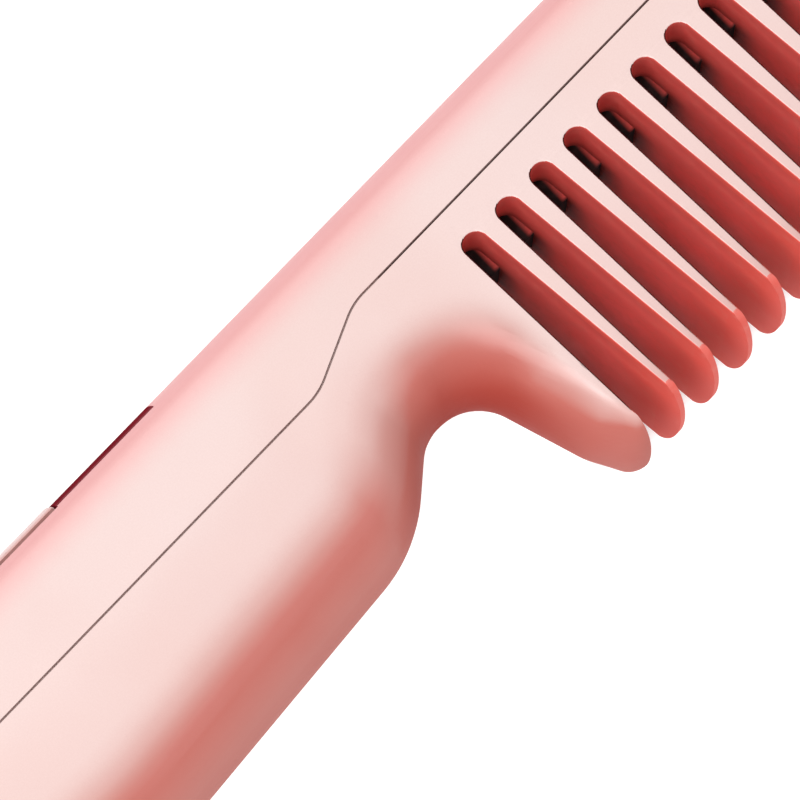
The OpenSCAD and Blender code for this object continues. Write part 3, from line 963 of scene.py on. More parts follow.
@dataclass(frozen=True)
class RoseSprayAndShade:
    """Depth of the rose spray on the shells, over places in millimetres; the spray is painted
    shade.

    A curve holds places and the depth there: 0 is bare, 1 is rose and 2 is deep red, painted shade
    that grows where the shells turn away from the light. The handle, notch, arch, land and matt
    curves run inwards from the outline, the crown's one down from the spine, the tips' one down
    from the middle, and the others along X or Y.
    """

    handle: Curve = (
        (0, 1, 1.9, 3.6, 4.7, 5.4, 6.2, 7.2, 8.3, 9.3, 10.2, 11.2, 12.5, 18, 22),
        (0.93, 0.88, 0.9, 0.97, 1.04, 1.02, 0.91, 0.74, 0.54, 0.42, 0.28, 0.17, 0.1, 0.06, 0))
    notch: Curve = (
        (0, 0.8, 1.6, 2.2, 3.2, 4.7, 5.5, 6.2, 7, 8.2, 9, 9.8, 11, 12.5, 14),
        (1.45, 1.35, 1.1, 0.92, 0.82, 0.74, 0.65, 0.52, 0.42, 0.33, 0.25, 0.17, 0.13, 0.07, 0.03))
    arch: Curve = (
        (0, 0.8, 1.4, 2.2, 3.2, 4, 4.7, 5.4, 6.2, 7, 7.7, 8.3, 9, 9.8, 10.6, 12),
        (2, 1.8, 1.62, 1.43, 1.26, 1.14, 1.01, 0.92, 0.82, 0.67, 0.52, 0.41, 0.28, 0.17, 0.09,
         0.05))
    land: Curve = (
        (0, 0.7, 1.3, 1.8, 2.3, 3, 4.2, 4.8, 5.4, 5.9, 6.3, 7.2, 8),
        (2, 1.77, 1.53, 1.28, 1, 0.89, 0.79, 0.73, 0.56, 0.38, 0.17, 0.05, 0))
    land_shrinks: Curve = ((-30, -27, -21.5, -16), (1.4, 1.2, 1.12, 1))
    land_thins: Curve = ((-30, -26, -21.5, -16), (3.2, 2.5, 1.4, 1))
    land_deepens: Curve = ((-29, -22, -17), (0.15, 0.6, 1))
    arch_ends: Curve = ((11.5, 13, 14.5, 16, 17.5), (0, 0.1, 0.4, 0.75, 0.9))
    arch_kept: Point = (1.6, 0.7)  # deeper painted shade than the first doesn't fade at the ends
    notch_x: Point = (-13.5, -8.5)
    arch_x: Point = (-3, 3)
    head_x: Point = (7, 11)
    land_y: Point = (-11.5, -17)
    belly_end_x: Point = (18.5, 17)
    tail: Curve = ((-104, -92), (0.35, 1))
    crown: Curve = ((0, 1.5, 3.7, 5, 6, 7.5), (1, 1, 0.55, 0.3, 0.12, 0))
    tips: Curve = (
        (2, 9, 12.5, 21, 28.4, 29.3, 30.0, 31.8), (0, 0.05, 0.08, 0.16, 0.38, 0.7, 1, 1))
    tips_begin: Curve = ((16, 18.5), (0.5, 1))
    matt: Curve = ((0, 2, 4.5), (1, 1, 0))
    matt_ends: Curve = ((16, 18), (1, 0))

    def first_land(self, away: np.ndarray, y: np.ndarray) -> np.ndarray:
        """Depth on the land before the first slot, which thins towards its tip.

        Args:
            away: distance from the outline.
            y: height of the same points.

        Returns:
            The depth.
        """
        land = np.interp(away * np.interp(y, *self.land_shrinks), *self.land)
        rose = np.maximum(1 - (1 - land) * np.interp(y, *self.land_thins), 0)
        return np.where(land < 1, rose, 1 + (land - 1) * np.interp(y, *self.land_deepens))

    def belly(self, away: np.ndarray, x: np.ndarray, y: np.ndarray) -> np.ndarray:
        """Depth beside the lower outline, from the tail to the first slot.

        Args:
            away: distance from the outline.
            x: place of the same points along the comb.
            y: their height.

        Returns:
            The depth.
        """
        arch, land = np.interp(away, *self.arch), self.first_land(away, y)
        arch *= 1 - np.interp(x, *self.arch_ends) * ramp(arch, *self.arch_kept)
        arch += (land - arch) * ramp(y, *self.land_y) * ramp(x, *self.head_x)
        belly = np.interp(away, *self.handle)
        belly += (np.interp(away, *self.notch) - belly) * ramp(x, *self.notch_x)
        belly += (arch - belly) * ramp(x, *self.arch_x)
        return belly * (ramp(x, *self.belly_end_x) * np.interp(x, *self.tail))

    def write(self, item: Item, line: np.ndarray, spine_h: float) -> None:
        """Write the spray, which is painted shade, on a shell that is still in millimetres.

        Args:
            item: the shell.
            line: the body's lower outline.
            spine_h: height of the spine.
        """
        at = np.array([v.co[:] for v in item.data.vertices])
        x, y, away = at[:, 0], at[:, 1], distance_to(line, at[:, :2])
        belly = self.belly(away, x, y)
        tips = np.interp(-y, *self.tips) * ramp(x, *self.head_x) * np.interp(x, *self.tips_begin)
        matt = np.interp(away, *self.matt) * np.interp(x, *self.matt_ends)
        # painted shade: the rose spray, the spine's rounded edge and the deep red at the outline
        for name, values in (("rose_spray_shade", np.maximum(np.minimum(belly, 1), tips)),
                             ("crown", np.interp(spine_h - y, *self.crown)),
                             ("deep_shade", np.clip(belly - 1, 0, 1)), ("matt", matt)):
            Workshop.write(item, name, "POINT", values)


@dataclass(frozen=True)
class Flanks:
    """Red of the slots' inner flanks and of the teeth's tips, and a painted shade line along each
    slot's rear edge, over heights in millimetres.
    """

    depth: Curve = ((-31.8, -30, -28.2), (0.95, 1, 1))
    rim: Curve = ((-31.8, -29.4, -28.6, -27.8), (0.9, 0.9, 0.7, 0))
    reach: float = 4.0  # how far from a slot's middle its flanks lie at most
    clear: float = 1.0  # farther out than the first and last slot by this, no flank looks outwards
    steep: float = 0.6  # a flank's normal leans at least so much along X
    flat: float = 0.5  # the normal of a slot's root leans less along Z
    root_y: float = -3.0  # the root starts here
    over: float = 0.3  # and ends so far above the slot
    forward: float = 0.2  # the normal of a slot's painted shade line leans at least so much forwards
    shade_line_y: float = -27.5  # the painted shade line's lower end
    tip_y: float = -27.7  # upper end of the teeth's tips
    # mark of the painted shade line, read by the lacquer
    shade_line_mark: float = 2.0

    def write(self, item: Item, size: CombSizes, edge: float) -> None:
        """Write the red and the painted shade lines on a shell that is still in millimetres.

        Args:
            item: the shell.
            size: the comb's sizes.
            edge: how far the slots' flares reach into the flat sides.
        """
        mesh, mid = item.data, size.mid_z
        y = np.array([v.co.y for v in mesh.vertices])
        depth, rim = np.interp(y, *self.depth), np.interp(y, *self.rim)
        values = np.zeros(len(mesh.loops), dtype=np.float32)
        first, last, top = size.first_slot_x, size.last_slot_x, size.root_y + self.over
        for face in mesh.polygons:
            at, normal = face.center, face.normal
            outer = (at.x < first - self.clear and normal.x < 0
                     or at.x > last + self.clear and normal.x > 0)
            inner = (abs(normal.x) > self.steep
                     or at.y > self.root_y and abs(normal.z) < self.flat)
            near = first - self.reach < at.x < last + self.reach
            flank = near and at.y < top and inner and not outer
            flare = near and abs(at.z - mid) > mid - edge
            # the forward-facing flare gets a painted shade line
            line = flare and normal.x > self.forward and self.shade_line_y < at.y < top
            if line or flank or first < at.x < last and at.y < self.tip_y:
                for loop in face.loop_indices:
                    red = (depth if flank else rim)[mesh.loops[loop].vertex_index]
                    values[loop] = self.shade_line_mark if line else red
        Workshop.write(item, "flank", "CORNER", values)


@dataclass
class Housing:
    """Two pearl shells with their hollow, seam and slots between the fingers.

    Names that end in x, y or z hold places or spans along the comb, upwards and across it.
    """

    size: CombSizes = field(default_factory=CombSizes)
    lacquer: Finish = PearlLacquer()
    spray: RoseSprayAndShade = RoseSprayAndShade()
    flanks: Flanks = Flanks()
    steps: int = 12
    levels: int = 28
    hollow_steps: int = 8
    hollow_levels: int = 16
    outline_steps: int = 24
    bend_steps: int = 14
    slot_steps: int = 20
    flare_steps: int = 6
    plug_steps: int = 12
    edge: float = 0.24
    longest: float = 3.6
    fine: float = 1.7
    fine_to: float = 18.0
    seam_bend: Corner = (-7.3, 0, 9)
    seam_rise_x: float = 3.4
    lip_x: Point = (-91, 8)
    lip_z: float = 1.1
    boss_x: float = -89.0
    boss_r: float = 3.1
    boss_y: Point = (-4, 4.5)
    boss_drill: Point = (-5, 5)
    lower_drill: Point = (-75, -3)
    head_hole: Point = (-75, -12)
    head_hole_r: float = 2.2
    post_r: float = 1.9
    board_post_x: Point = (-81.4, -15.3)
    board_post_y: float = 7.4
    board_drill: Point = (7, 10.4)
    plug_post_x: float = -94.6
    plug_post_z: Point = (6, 14)
    plug_post_top: float = -5.5
    plug_drill: Point = (-10.5, -4.5)
    comb_screw_x: Point = (13.2, 100.7)
    comb_drill: Point = (-7.5, 1.5)
    rib_t: float = 1.2
    rib_y: float = 7.3
    rib_z: Point = (3.5, 16.5)
    rib_at: tuple[float, ...] = (0.08, 0.36, 0.64, 0.92)  # shares of the clamp's length
    clamp_x: Point = (17.2, 96.7)
    cell_rib_x: Point = (-54, -25)
    cell_rib_y: float = -14.6
    cell_rib_z: Point = (4.3, 15.7)
    web_z: Point = (6, 14)
    tongue_x: Point = (103.6, 104.6)
    tongue_y: Point = (2, 8.5)
    tongue_z: Point = (7, 13)
    tongue_root_x: Point = (103.6, 107)
    tongue_root_y: Point = (6.5, 8.5)
    opening_d: float = 3.0
    groove: float = 0.42  # extra room beside the window and the keys
    root_room_x: Point = (10.6, 103.3)
    root_room_top: float = 5.5
    tooth_room_x: Point = (18.6, 95.3)
    tooth_low: float = -28.2
    bar_room_x: Point = (16.2, 97.7)
    bar_low: float = -3.8
    bar_z: Point = (7.2, 12.8)
    plug_w: float = 9.2
    plug_h: float = 3.4
    plug_x: Point = (-106, -98)
    plug_y: float = -2.7

    def mid_corners(self) -> list[Corner]:
        """Corners of the outline at its widest, half way up.

        Returns:
            The corners as x, y and radius, once around from the tail's top.
        """
        s = self.size
        return [(s.tail_x, s.spine_h, 14), (s.tail_x, -s.tail_d, 16), (s.belly_x, -s.belly_d, 60),
                (-11.1, -s.heel_d, 20), (-0.4, -s.arch_d - 0.3, 7.1), (7.3, -s.arch_d - 0.8, 6.5),
                (11.1, -s.tip_d + 5.1, 6.5), (14.4, -s.tip_d, 3.3), (s.nose_x - 3.5, -s.tip_d, 3),
                (s.nose_x, -14, 30), (s.nose_x, s.spine_h, 12)]

    def side_corners(self) -> list[Corner]:
        """Corners of the flat sides' outline.

        Returns:
            As many corners as at its widest, in the same order.
        """
        s, top, low = self.size, self.size.spine_round, self.size.belly_round
        return [(s.tail_x + top, s.spine_h - top, 10), (s.tail_x + top, -s.tail_d + low, 10),
                (s.belly_x, -s.belly_d + low, 60), (-11.5, -s.heel_d + low + 1, 8),
                (-2.8, -s.arch_d + low - 0.5, 8), (12.2, -s.arch_d + low - 1.1, 8),
                (15.3, -18, 30), (15.7, -s.tip_d + s.tip_round, 2),
                (s.nose_x - 5, -s.tip_d + s.tip_round, 1.5), (s.nose_x - 1.5, -14, 30),
                (s.nose_x - top, s.spine_h - top, 8)]

    def skin(self) -> Solid:
        """The whole body without seam or hollow."""
        side, mid = self.side_corners(), self.mid_corners()
        return bulged_body(side, mid, 0, self.size.body_t, self.steps, self.levels)

    def hollow(self) -> Solid:
        """Room inside the shells.

        Returns:
            The room, before posts and ribs are kept out of it.
        """
        s, top, low = self.size, self.size.spine_round, self.size.belly_round
        rear, front, wall = s.tail_x + s.wall, s.nose_x - s.wall, s.wall
        mid = [(rear, s.spine_h - wall, 12), (rear, -s.tail_d + wall, 14),
               (s.belly_x, -s.belly_d + wall, 58), (-12.3, -s.heel_d + wall, 18),
               (-1, -s.arch_d + wall + 0.3, 5), (9, s.floor_y, 3), (front, s.floor_y, 1.5),
               (front, s.spine_h - wall, 10)]
        rear, front = s.tail_x + top, s.nose_x - top
        side = [(rear, s.spine_h - top, 8), (rear, -s.tail_d + low, 8),
                (s.belly_x, -s.belly_d + low, 58), (-11.7, -s.heel_d + low + 1.5, 6),
                (-4, -s.arch_d + low + 0.8, 4), (9.5, s.floor_y, 2), (front, s.floor_y, 1),
                (front, s.spine_h - top, 6)]
        return bulged_body(side, mid, wall, s.body_t - wall, self.hollow_steps, self.hollow_levels)

    def seam_line(self, shift: float) -> list[Point]:
        """The seam's two bends.

        Args:
            shift: how far up they are moved.

        Returns:
            The bends' points, from the handle to the head.
        """
        (x, y, r), rise, top = self.seam_bend, self.seam_rise_x, self.size.seam_step
        bends = corner_arc((-FAR, y, 0), (x, y, r), (rise, top, 0), self.bend_steps)
        bends += corner_arc((x, y, 0), (rise, top, r), (FAR, top, 0), self.bend_steps)
        return [(x, y + shift) for x, y in bends]

    def above_seam(self, shift: float) -> Solid:
        """Everything above the seam, moved up by a shift."""
        line = [(-FAR, shift)] + self.seam_line(shift) + [(FAR, self.size.seam_step + shift)]
        return prism(line + [(FAR, FAR), (-FAR, FAR)], -PAST, self.size.body_t + PAST)

    def lips(self, grow: float) -> list[Solid]:
        """Two strips that step over the seam inside the walls.

        Args:
            grow: how much larger they are on each side.

        Returns:
            One strip per side wall.
        """
        s, low, up = self.size, -self.size.lip_h, self.size.lip_h + grow
        rear, front = self.lip_x[0] - grow, self.lip_x[1] + grow
        under = [(rear, low)] + self.seam_line(low) + [(front, s.seam_step + low)]
        over = [(rear, up)] + self.seam_line(up) + [(front, s.seam_step + up)]
        outline, outer = under + over[::-1], self.lip_z - grow
        return [prism(outline, outer, s.wall), prism(outline, s.body_t - s.wall, s.body_t - outer)]

    def slot_ring(self, middle: float, grow: float) -> list[Point]:
        """Outline of one slot.

        Args:
            middle: its place along the comb.
            grow: how much wider it is on each side.

        Returns:
            The outline, anticlockwise.
        """
        s, steps = self.size, self.slot_steps
        r, centre, low = s.slot_w / 2 + grow, s.root_y - s.slot_w / 2, -s.tip_d - 2 * PAST
        wide = r / math.cos(s.slot_lean) + (centre - low) * math.tan(s.slot_lean)
        arc = [s.slot_lean + (math.pi - 2 * s.slot_lean) * i / steps for i in range(steps + 1)]
        ring = [(-wide, low), (wide, low)]
        ring += [(r * math.cos(a), centre + r * math.sin(a)) for a in arc]
        return [(middle + x, y) for x, y in ring]

    def slot_cuts(self) -> Solid:
        """All slots, flared where they leave the flat sides.

        Returns:
            The slots as one solid.
        """
        turns = [math.radians(90 / self.flare_steps * i) for i in range(self.flare_steps + 1)]
        low = [(-PAST, self.edge)]
        low += [(self.edge * (1 - math.cos(a)), self.edge * (1 - math.sin(a))) for a in turns]
        both = low + [(self.size.body_t - z, grow) for z, grow in reversed(low)]
        whole = Solid([], [])
        for i in range(self.size.slots):
            middle = self.size.first_slot_x + i * self.size.pitch
            rings = [self.slot_ring(middle, grow) for _, grow in both]
            whole = whole.joined(stack(rings, [z for z, _ in both]))
        return whole

    def upper(self) -> Item:
        """The top shell with key openings, guides and ribs.

        Returns:
            The shell, still in millimetres.
        """
        s, fit, mid, cut = self.size, self.size.key_gap, self.size.mid_z, Workshop.change
        boss, boards = [(self.boss_x, mid)], [(x, mid) for x in self.board_post_x]
        first, last = self.clamp_x
        ribs = [first + (last - first) * share - self.rib_t / 2 for share in self.rib_at]
        room = cut(Workshop.bring_in("room", self.hollow()), Cut.LESS,
                   *posts(boss, self.boss_r, (0, s.spine_h)),
                   *posts(boards, self.post_r, (self.board_post_y, s.spine_h)),
                   *slabs([(x, x + self.rib_t) for x in ribs], (self.rib_y, s.spine_h), self.rib_z),
                   *slabs([self.tongue_root_x], self.tongue_root_y, self.tongue_z),
                   *slabs([(rear - fit - s.key_web, rear - fit) for rear, _ in s.key_spans()],
                          (s.cap_y, s.spine_h), self.web_z))
        shell = Workshop.bring_in("top_shell_fine", self.skin())
        cut(shell, Cut.BOTH, self.above_seam(s.seam_gap / 2))
        cut(shell, Cut.LESS, room, *self.lips(s.assembly_gap))
        height, half = (s.cap_y - self.opening_d, FAR), s.key_w / 2 + self.groove
        wide = half + fit
        cut(shell, Cut.LESS,
            *slabs([(s.window_x - s.window_len, s.window_x)], height, (mid - half, mid + half)),
            *slabs([(rear - fit, front + fit) for rear, front in s.key_spans()], height,
                   (mid - wide, mid + wide)))
        cut(shell, Cut.PLUS, *posts(boss, self.boss_r, self.boss_y),
            *slabs([self.tongue_x], self.tongue_y, self.tongue_z))
        return cut(shell, Cut.LESS, *posts(boss, s.drill_r, self.boss_drill),
                   *posts(boards, s.drill_r, self.board_drill))

    def lower(self) -> Item:
        """The bottom shell with its fingers, pockets and posts.

        Returns:
            The shell, still in millimetres.
        """
        s, mid, cut, depth = self.size, self.size.mid_z, Workshop.change, -self.size.belly_d
        boss, screws = [(self.boss_x, mid)], [(x, mid) for x in self.comb_screw_x]
        plugs = [(self.plug_post_x, z) for z in self.plug_post_z]
        room = cut(Workshop.bring_in("room", self.hollow()), Cut.LESS,
                   *posts(boss, self.boss_r, (depth, self.boss_y[0])),
                   *posts(plugs, self.post_r, (depth, self.plug_post_top)),
                   *slabs([(x, x + self.rib_t) for x in self.cell_rib_x],
                          (depth, self.cell_rib_y), self.cell_rib_z))
        shell = Workshop.bring_in("bottom_shell_fine", self.skin())
        cut(shell, Cut.LESS, self.above_seam(-s.seam_gap / 2), room)
        cut(shell, Cut.PLUS, *self.lips(0))
        between, root = (s.finger_t, s.body_t - s.finger_t), s.root_y + OVERLAP
        cut(shell, Cut.LESS, self.slot_cuts(),
            *slabs([self.root_room_x], (s.root_y, self.root_room_top), between),
            *slabs([self.tooth_room_x], (self.tooth_low, root), between),
            *slabs([self.bar_room_x], (self.bar_low, root), self.bar_z))
        return cut(shell, Cut.LESS, *posts(screws, s.drill_r, self.comb_drill),
                   *posts(boss, s.drill_r, self.lower_drill),
                   *posts(boss, self.head_hole_r, self.head_hole),
                   *posts(plugs, s.drill_r, self.plug_drill), self.charge_door())

    def charge_door(self) -> Solid:
        """Opening for the charging plug, a stadium that lies on its side.

        Returns:
            The solid to take away.
        """
        wide, high, steps = self.plug_w / 2, self.plug_h / 2, self.plug_steps
        arc = [math.pi * (i / steps - 0.5) for i in range(steps + 1)]
        ring = [(wide - high + high * math.cos(a), high * math.sin(a)) for a in arc]
        flat, mid = prism(ring + [(-x, -y) for x, y in ring], *self.plug_x), self.size.mid_z
        return Solid([(x, y + self.plug_y, mid - z) for z, y, x in flat.points], flat.faces)

    def build(self) -> list[Item]:
        """Build both shells in place of the plain ones.

        Returns:
            The shells.
        """
        made, paint = [], self.lacquer.build()
        outline = body_outline(self.mid_corners(), self.outline_steps)
        line = np.array([p for p in outline if p[1] < 0])
        for shell, node, name in ((self.upper(), "top_shell", "housing_upper"),
                                  (self.lower(), "bottom_shell", "housing_lower")):
            Workshop.split_long_edges(shell, self.longest, self.fine, self.fine_to)
            self.spray.write(shell, line, self.size.spine_h)
            self.flanks.write(shell, self.size, self.edge)
            Workshop.complete(shell, paint)
            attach(shell, "housing")
            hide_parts(node)
            made.append(shell)
        return made


@dataclass
class Controls:
    """Display window and three sprung keys on the spine."""

    size: CombSizes = field(default_factory=CombSizes)
    lacquer: Finish = KeyLacquer()
    glass: Finish = Finish("window_gloss", (0.19, 0.014, 0.022), (0.16, 0.01, 0.017),
                           (0.2, 0.04, 0.04), (0.12, 0.2), grain=Grain.PEEL, grain_scale=600.0,
                           depth=0.004, wear=0.2, sheen=(0.5, 0.0), sheen_from=(0.3, 0.65))
    rounding: float = 0.35
    rounding_steps: int = 3
    glass_rounding: float = 0.12
    glass_steps: int = 2
    lip_t: float = 0.7
    lip_z: Point = (6, 14)
    stem_r: float = 1.5
    stem_y: float = 9.35
    stem_short: float = 0.6
    mark_depth: float = 0.25
    mark_len: float = 4.2
    mark_w: float = 0.8
    power_gap: float = math.radians(35)
    power_steps: int = 24
    power_stick: Point = (0.3, 0.4)
    flat_side: float = 0.9
    flat_end: float = 0.8
    underside: float = -0.5

    def key(self, name: str, rear: float, front: float) -> Item:
        """One key with its lip and stem.

        Args:
            name: the object's name.
            rear: its rear end.
            front: its front end.

        Returns:
            The key, still in millimetres.
        """
        s, reach = self.size, self.size.key_lip + self.size.key_gap
        cap = Workshop.bring_in(name, crown_strip(s, rear, front, s.key_rise))
        Workshop.round_edges(cap, self.rounding, self.rounding_steps)
        lip = block((rear - reach, s.cap_y - self.lip_t, self.lip_z[0]),
                    (front + reach, s.cap_y + OVERLAP, self.lip_z[1]))
        ends = (self.stem_y, s.cap_y - self.stem_short)
        stem = posts([((rear + front) / 2, s.mid_z)], self.stem_r, ends)
        return Workshop.change(cap, Cut.PLUS, lip, *stem)

    def mark_shaded_sides(self, cap: Item) -> None:
        """Write which faces of a key get painted shade: its sides, ends and underside.

        Args:
            cap: the key, still in millimetres.
        """
        values = np.zeros(len(cap.data.loops), dtype=np.float32)
        for face in cap.data.polygons:
            out = abs(face.center.z - self.size.mid_z) > self.size.key_w / 2 - self.rounding
            if (out and abs(face.normal.z) > self.flat_side
                    or abs(face.normal.x) > self.flat_end or face.normal.y < self.underside):
                values[list(face.loop_indices)] = 1.0
        Workshop.write(cap, "flank", "CORNER", values)

    def marks(self, sign: Sign, at: float) -> list[Solid]:
        """Grooves of a generic sign in a key's crown.

        Args:
            sign: the sign.
            at: the key's middle along the comb.

        Returns:
            The solids to take away.
        """
        s, half, wide = self.size, self.mark_len / 2, self.mark_w / 2
        low, high = s.spine_h + s.key_rise - self.mark_depth, s.spine_h + 2 * PAST
        mid = s.mid_z
        bar = block((at - wide, low, mid - half), (at + wide, high, mid + half))
        if sign is Sign.MINUS:
            return [bar]
        if sign is Sign.PLUS:
            return [bar, block((at - half, low, mid - wide), (at + half, high, mid + wide))]
        gap, steps = self.power_gap, self.power_steps
        turns = [gap + (2 * math.pi - 2 * gap) * i / steps for i in range(steps + 1)]
        outer, inner = ([(at + r * math.cos(a), mid + r * math.sin(a)) for a in turns]
                        for r in (half, half - self.mark_w))
        start, over = self.power_stick
        stick = block((at + start, low, mid - wide), (at + half + over, high, mid + wide))
        return [column(outer + inner[::-1], low, high), stick]

    def build(self) -> list[Item]:
        """Build the window and the keys in place of the plain ones.

        Returns:
            The four pieces.
        """
        s, made, coat = self.size, [], self.lacquer.build()
        for sign, (rear, front) in zip(Sign, s.key_spans()):
            name = f"{sign.value}_key"
            cap = self.key(f"{name}_fine", rear, front)
            Workshop.change(cap, Cut.LESS, *self.marks(sign, (rear + front) / 2))
            self.mark_shaded_sides(cap)
            Workshop.complete(cap, coat)
            made.append(self.place(cap, f"{name}_cap", name, "key_pink"))
        strip = crown_strip(s, s.window_x - s.window_len, s.window_x, 0)
        window = Workshop.bring_in("display_window_fine", strip)
        Workshop.round_edges(window, self.glass_rounding, self.glass_steps)
        Workshop.complete(window, self.glass.build())
        made.append(self.place(window, "housing", "display_window", "window_dark"))
        return made

    @staticmethod
    def place(item: Item, body: str, node: str, slot: str) -> Item:
        """Put a piece on its body.

        Args:
            item: the piece.
            body: the body it rides on.
            node: the fixed piece that it replaces.
            slot: its material slot; not used.

        Returns:
            The piece.
        """
        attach(item, body)
        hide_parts(node)
        return item


@dataclass
class Dressing:
    """Finishes of the fixed pieces that keep their shape."""

    finishes: tuple[tuple[Finish, tuple[str, ...]], ...]

    def build(self) -> list[Item]:
        """Dress every piece.

        Returns:
            The pieces.
        """
        made = []
        for finish, nodes in self.finishes:
            material = finish.build()
            for node in nodes:
                Workshop.dress(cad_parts[node], material)
                made.append(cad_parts[node])
        return made


@dataclass
class HeatedComb(Dressing):
    """The coated metal comb between the fingers, and the bar behind its roots."""

    finishes: tuple[tuple[Finish, tuple[str, ...]], ...] = (
        (BarWithShadeWedge(), ("heater_bar",)),
        (CeramicCoat(), ("heated_comb",)),
    )


@dataclass
class Inside(Dressing):
    """Everything under the shells."""

    finishes: tuple[tuple[Finish, tuple[str, ...]], ...] = (
        (Finish("sintered_ceramic", (0.3, 0.16, 0.085), (0.24, 0.12, 0.06), (0.42, 0.28, 0.18),
                (0.6, 0.8), grain_scale=5200.0, depth=0.03), ("ptc_heaters",)),
        (Finish("spring_sheet", (0.42, 0.42, 0.43), (0.34, 0.33, 0.33), (0.6, 0.6, 0.6),
                (0.25, 0.4), 1.0, grain=Grain.BRUSHED, grain_scale=3000.0, depth=0.01),
         ("heater_clamp",)),
        (Finish("mica", (0.36, 0.27, 0.15), (0.27, 0.19, 0.1), (0.5, 0.42, 0.3),
                (0.35, 0.55), grain_scale=900.0, depth=0.02), ("mica_sheet",)),
        (Finish("zinc_screw", (0.33, 0.33, 0.34), (0.26, 0.26, 0.25), (0.55, 0.55, 0.54),
                (0.28, 0.42), 1.0, grain_scale=6000.0, depth=0.008, wear=0.6),
         ("comb_screws", "board_screws", "housing_screw")),
        (Finish("epoxy_bead", (0.013, 0.013, 0.014), (0.03, 0.028, 0.028), (0.08, 0.08, 0.08),
                (0.2, 0.4), grain_scale=2000.0, depth=0.02), ("thermistor",)),
        (Finish("fuse_can", (0.52, 0.48, 0.4), (0.42, 0.38, 0.3), (0.65, 0.63, 0.55),
                (0.28, 0.45), 1.0, grain=Grain.BRUSHED, grain_scale=4200.0, depth=0.008),
         ("thermal_fuse",)),
        (Finish("silicone_lead", (0.79, 0.775, 0.73), (0.7, 0.68, 0.62), (0.6, 0.57, 0.5),
                (0.45, 0.6), grain=Grain.BRAID, grain_scale=1500.0), ("heater_leads",)),
        (Finish("cell_pouch", (0.045, 0.1, 0.3), (0.035, 0.08, 0.24), (0.2, 0.26, 0.4),
                (0.25, 0.4), 0.3, grain_scale=420.0, depth=0.08), ("battery_cell",)),
        (Finish("foam", (0.045, 0.045, 0.048), (0.07, 0.07, 0.072), (0.12, 0.12, 0.12),
                (0.85, 0.98), grain=Grain.CELLS, grain_scale=1800.0, depth=0.15),
         ("battery_pads",)),
        (Finish("solder_mask", (0.013, 0.1, 0.03), (0.01, 0.075, 0.024), (0.25, 0.3, 0.15),
                (0.25, 0.42), coat=0.3, grain=Grain.WEAVE, grain_scale=1500.0, depth=0.015),
         ("protection_board", "main_board", "charge_board")),
        (Finish("wire_red", (0.42, 0.014, 0.012), (0.33, 0.01, 0.01), (0.5, 0.1, 0.08),
                (0.4, 0.55), grain=Grain.BRAID, grain_scale=1500.0),
         ("battery_leads", "charge_leads")),
        (Finish("chip_package", (0.01, 0.01, 0.011), (0.022, 0.022, 0.024), (0.06, 0.06, 0.06),
                (0.45, 0.65), grain_scale=5000.0, depth=0.015), ("board_chips", "boost_coil")),
        (Finish("stamped_steel", (0.46, 0.46, 0.47), (0.38, 0.38, 0.38), (0.62, 0.62, 0.62),
                (0.25, 0.4), 1.0, grain=Grain.BRUSHED, grain_scale=5000.0, depth=0.008),
         ("tact_switches",)),
        (Finish("display_case", (0.021, 0.021, 0.023), (0.035, 0.034, 0.035), (0.09, 0.09, 0.09),
                (0.4, 0.6), grain_scale=4200.0, depth=0.02), ("display_module",)),
        (Finish("guide_frame", (0.05, 0.035, 0.034), (0.075, 0.05, 0.047), (0.13, 0.1, 0.1),
                (0.45, 0.62), grain_scale=3600.0, depth=0.02), ("key_frame",)),
        (Finish("socket_shell", (0.5, 0.49, 0.47), (0.4, 0.39, 0.37), (0.65, 0.64, 0.6),
                (0.2, 0.36), 1.0, grain=Grain.BRUSHED, grain_scale=4000.0, depth=0.008),
         ("charge_socket",)),
    )


@dataclass(frozen=True)
class Lamp:
    """Square soft light, with its place and side in metres and its power in watts."""

    name: str
    at: Place
    side: float
    power: float
    aim: Place = (0.0, 0.0, 0.01)

    def build(self) -> None:
        """Put the light up, turned towards the comb."""
        data = bpy.data.lights.new(self.name, "AREA")
        data.size = self.side
        data.energy = self.power
        made = in_scene(self.name, data)
        made.location = self.at
        aim = Vector(self.aim) - Vector(self.at)
        made.rotation_euler = aim.to_track_quat("-Z", "Y").to_euler()


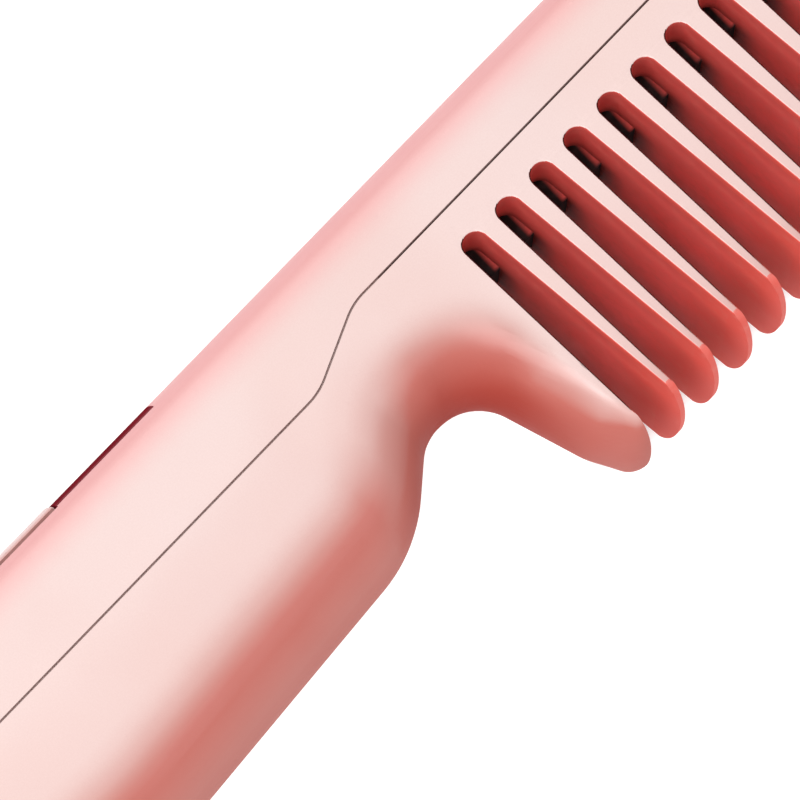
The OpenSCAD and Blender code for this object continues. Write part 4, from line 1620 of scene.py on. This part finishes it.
@dataclass
class Studio:
    """Pale floor, soft lights and the camera.

    The view and the shade are in millimetres, the floor and the lamps in metres.
    """

    target: Place = (-1.45, -7.5, 20.0)
    toward: Place = (-0.2383, -0.1728, 0.9557)
    right: Place = (0.6753, -0.7367, 0.0351)
    view_w: float = 93.2
    lens: float = 600.0
    sensor: float = 36.0
    lamps: tuple[Lamp, ...] = (
        Lamp("key", (-0.75, 0.05, 1.4), 1.3, 31.0), Lamp("fill", (0.7, -1.15, 1.2), 1.0, 6.0))
    white: Colour = (1.0, 1.0, 1.0)
    sky: float = 0.45
    floor_w: float = 6.0
    floor_tone: Colour = (0.4, 0.398, 0.396)
    floor_patch: Colour = (0.43, 0.428, 0.426)
    floor_scale: float = 3.0
    floor_rough: Point = (0.85, 0.95)
    floor_smudges: Patches = Patches(8.0, 3.0, 0.3, 0.7)
    floor_level: float = 0.1
    floor_glow: float = 0.9
    under_glow: float = 0.4
    shade_soft: float = 3.0
    shade: tuple[float, float, float, float] = (15, -26.5, 100, 13)

    def floor(self) -> None:
        """Plain pale floor under the comb."""
        bpy.ops.mesh.primitive_plane_add(size=self.floor_w)
        plane = bpy.context.object
        plane.name = "floor"
        board = NodeBoard("floor")
        tone = board.mix(board.noise(self.floor_scale), self.floor_tone, self.floor_patch)
        board.set("Base Color", tone)
        board.set("Roughness", board.patches(self.floor_smudges, *self.floor_rough))
        board.set("Specular IOR Level", self.floor_level)
        board.set("Emission Color", self.white)
        board.set("Emission Strength", self.glow(board))
        plane.data.materials.append(board.material)

    def glow(self, board: NodeBoard) -> Socket:
        """How much the floor lights itself: less under the slots, where the comb hides it.

        Args:
            board: the floor's nodes.

        Returns:
            The strength.
        """
        rear, low, front, high = (value * MM for value in self.shade)
        soft, inside = self.shade_soft * MM, 1.0
        for value, start, end in ((board.axis("X"), rear, front), (board.axis("Y"), low, high)):
            inside = board.times(inside, board.span(value, start - soft, start))
            inside = board.times(inside, board.span(value, end, end + soft, 1.0, 0.0))
        return board.span(inside, 0.0, 1.0, self.floor_glow, self.under_glow)

    def camera(self) -> None:
        """Camera with a very long lens."""
        data = bpy.data.cameras.new("camera")
        data.lens = self.lens
        data.sensor_width = self.sensor
        distance = self.view_w * MM * self.lens / self.sensor
        back = Vector(self.toward).normalized()
        side = Vector(self.right).normalized()
        made = in_scene("camera", data)
        turn = Matrix((side, back.cross(side), back)).transposed().to_4x4()
        made.matrix_world = Matrix.Translation(Vector(self.target) * MM + back * distance) @ turn
        data.clip_start = distance / 10
        data.clip_end = distance * 10
        bpy.context.scene.camera = made

    def build(self) -> None:
        """Set up floor, lights, sky and camera."""
        self.floor()
        for lamp in self.lamps:
            lamp.build()
        world = bpy.data.worlds.new("sky")
        world.use_nodes = True
        shade = world.node_tree.nodes["Background"]
        shade.inputs["Color"].default_value = (*self.white, 1.0)
        shade.inputs["Strength"].default_value = self.sky
        bpy.context.scene.world = world
        bpy.context.scene.view_settings.view_transform = "Standard"
        self.camera()


def main() -> None:
    """Build every sub-assembly, then the studio."""
    logging.basicConfig(level=logging.INFO)
    for assembly in (Housing(), Controls(), HeatedComb(), Inside()):
        for piece in assembly.build():
            LOG.info("%s: %d faces", piece.name, len(piece.data.polygons))
    Studio().build()


if __name__ == "__main__":
    main()
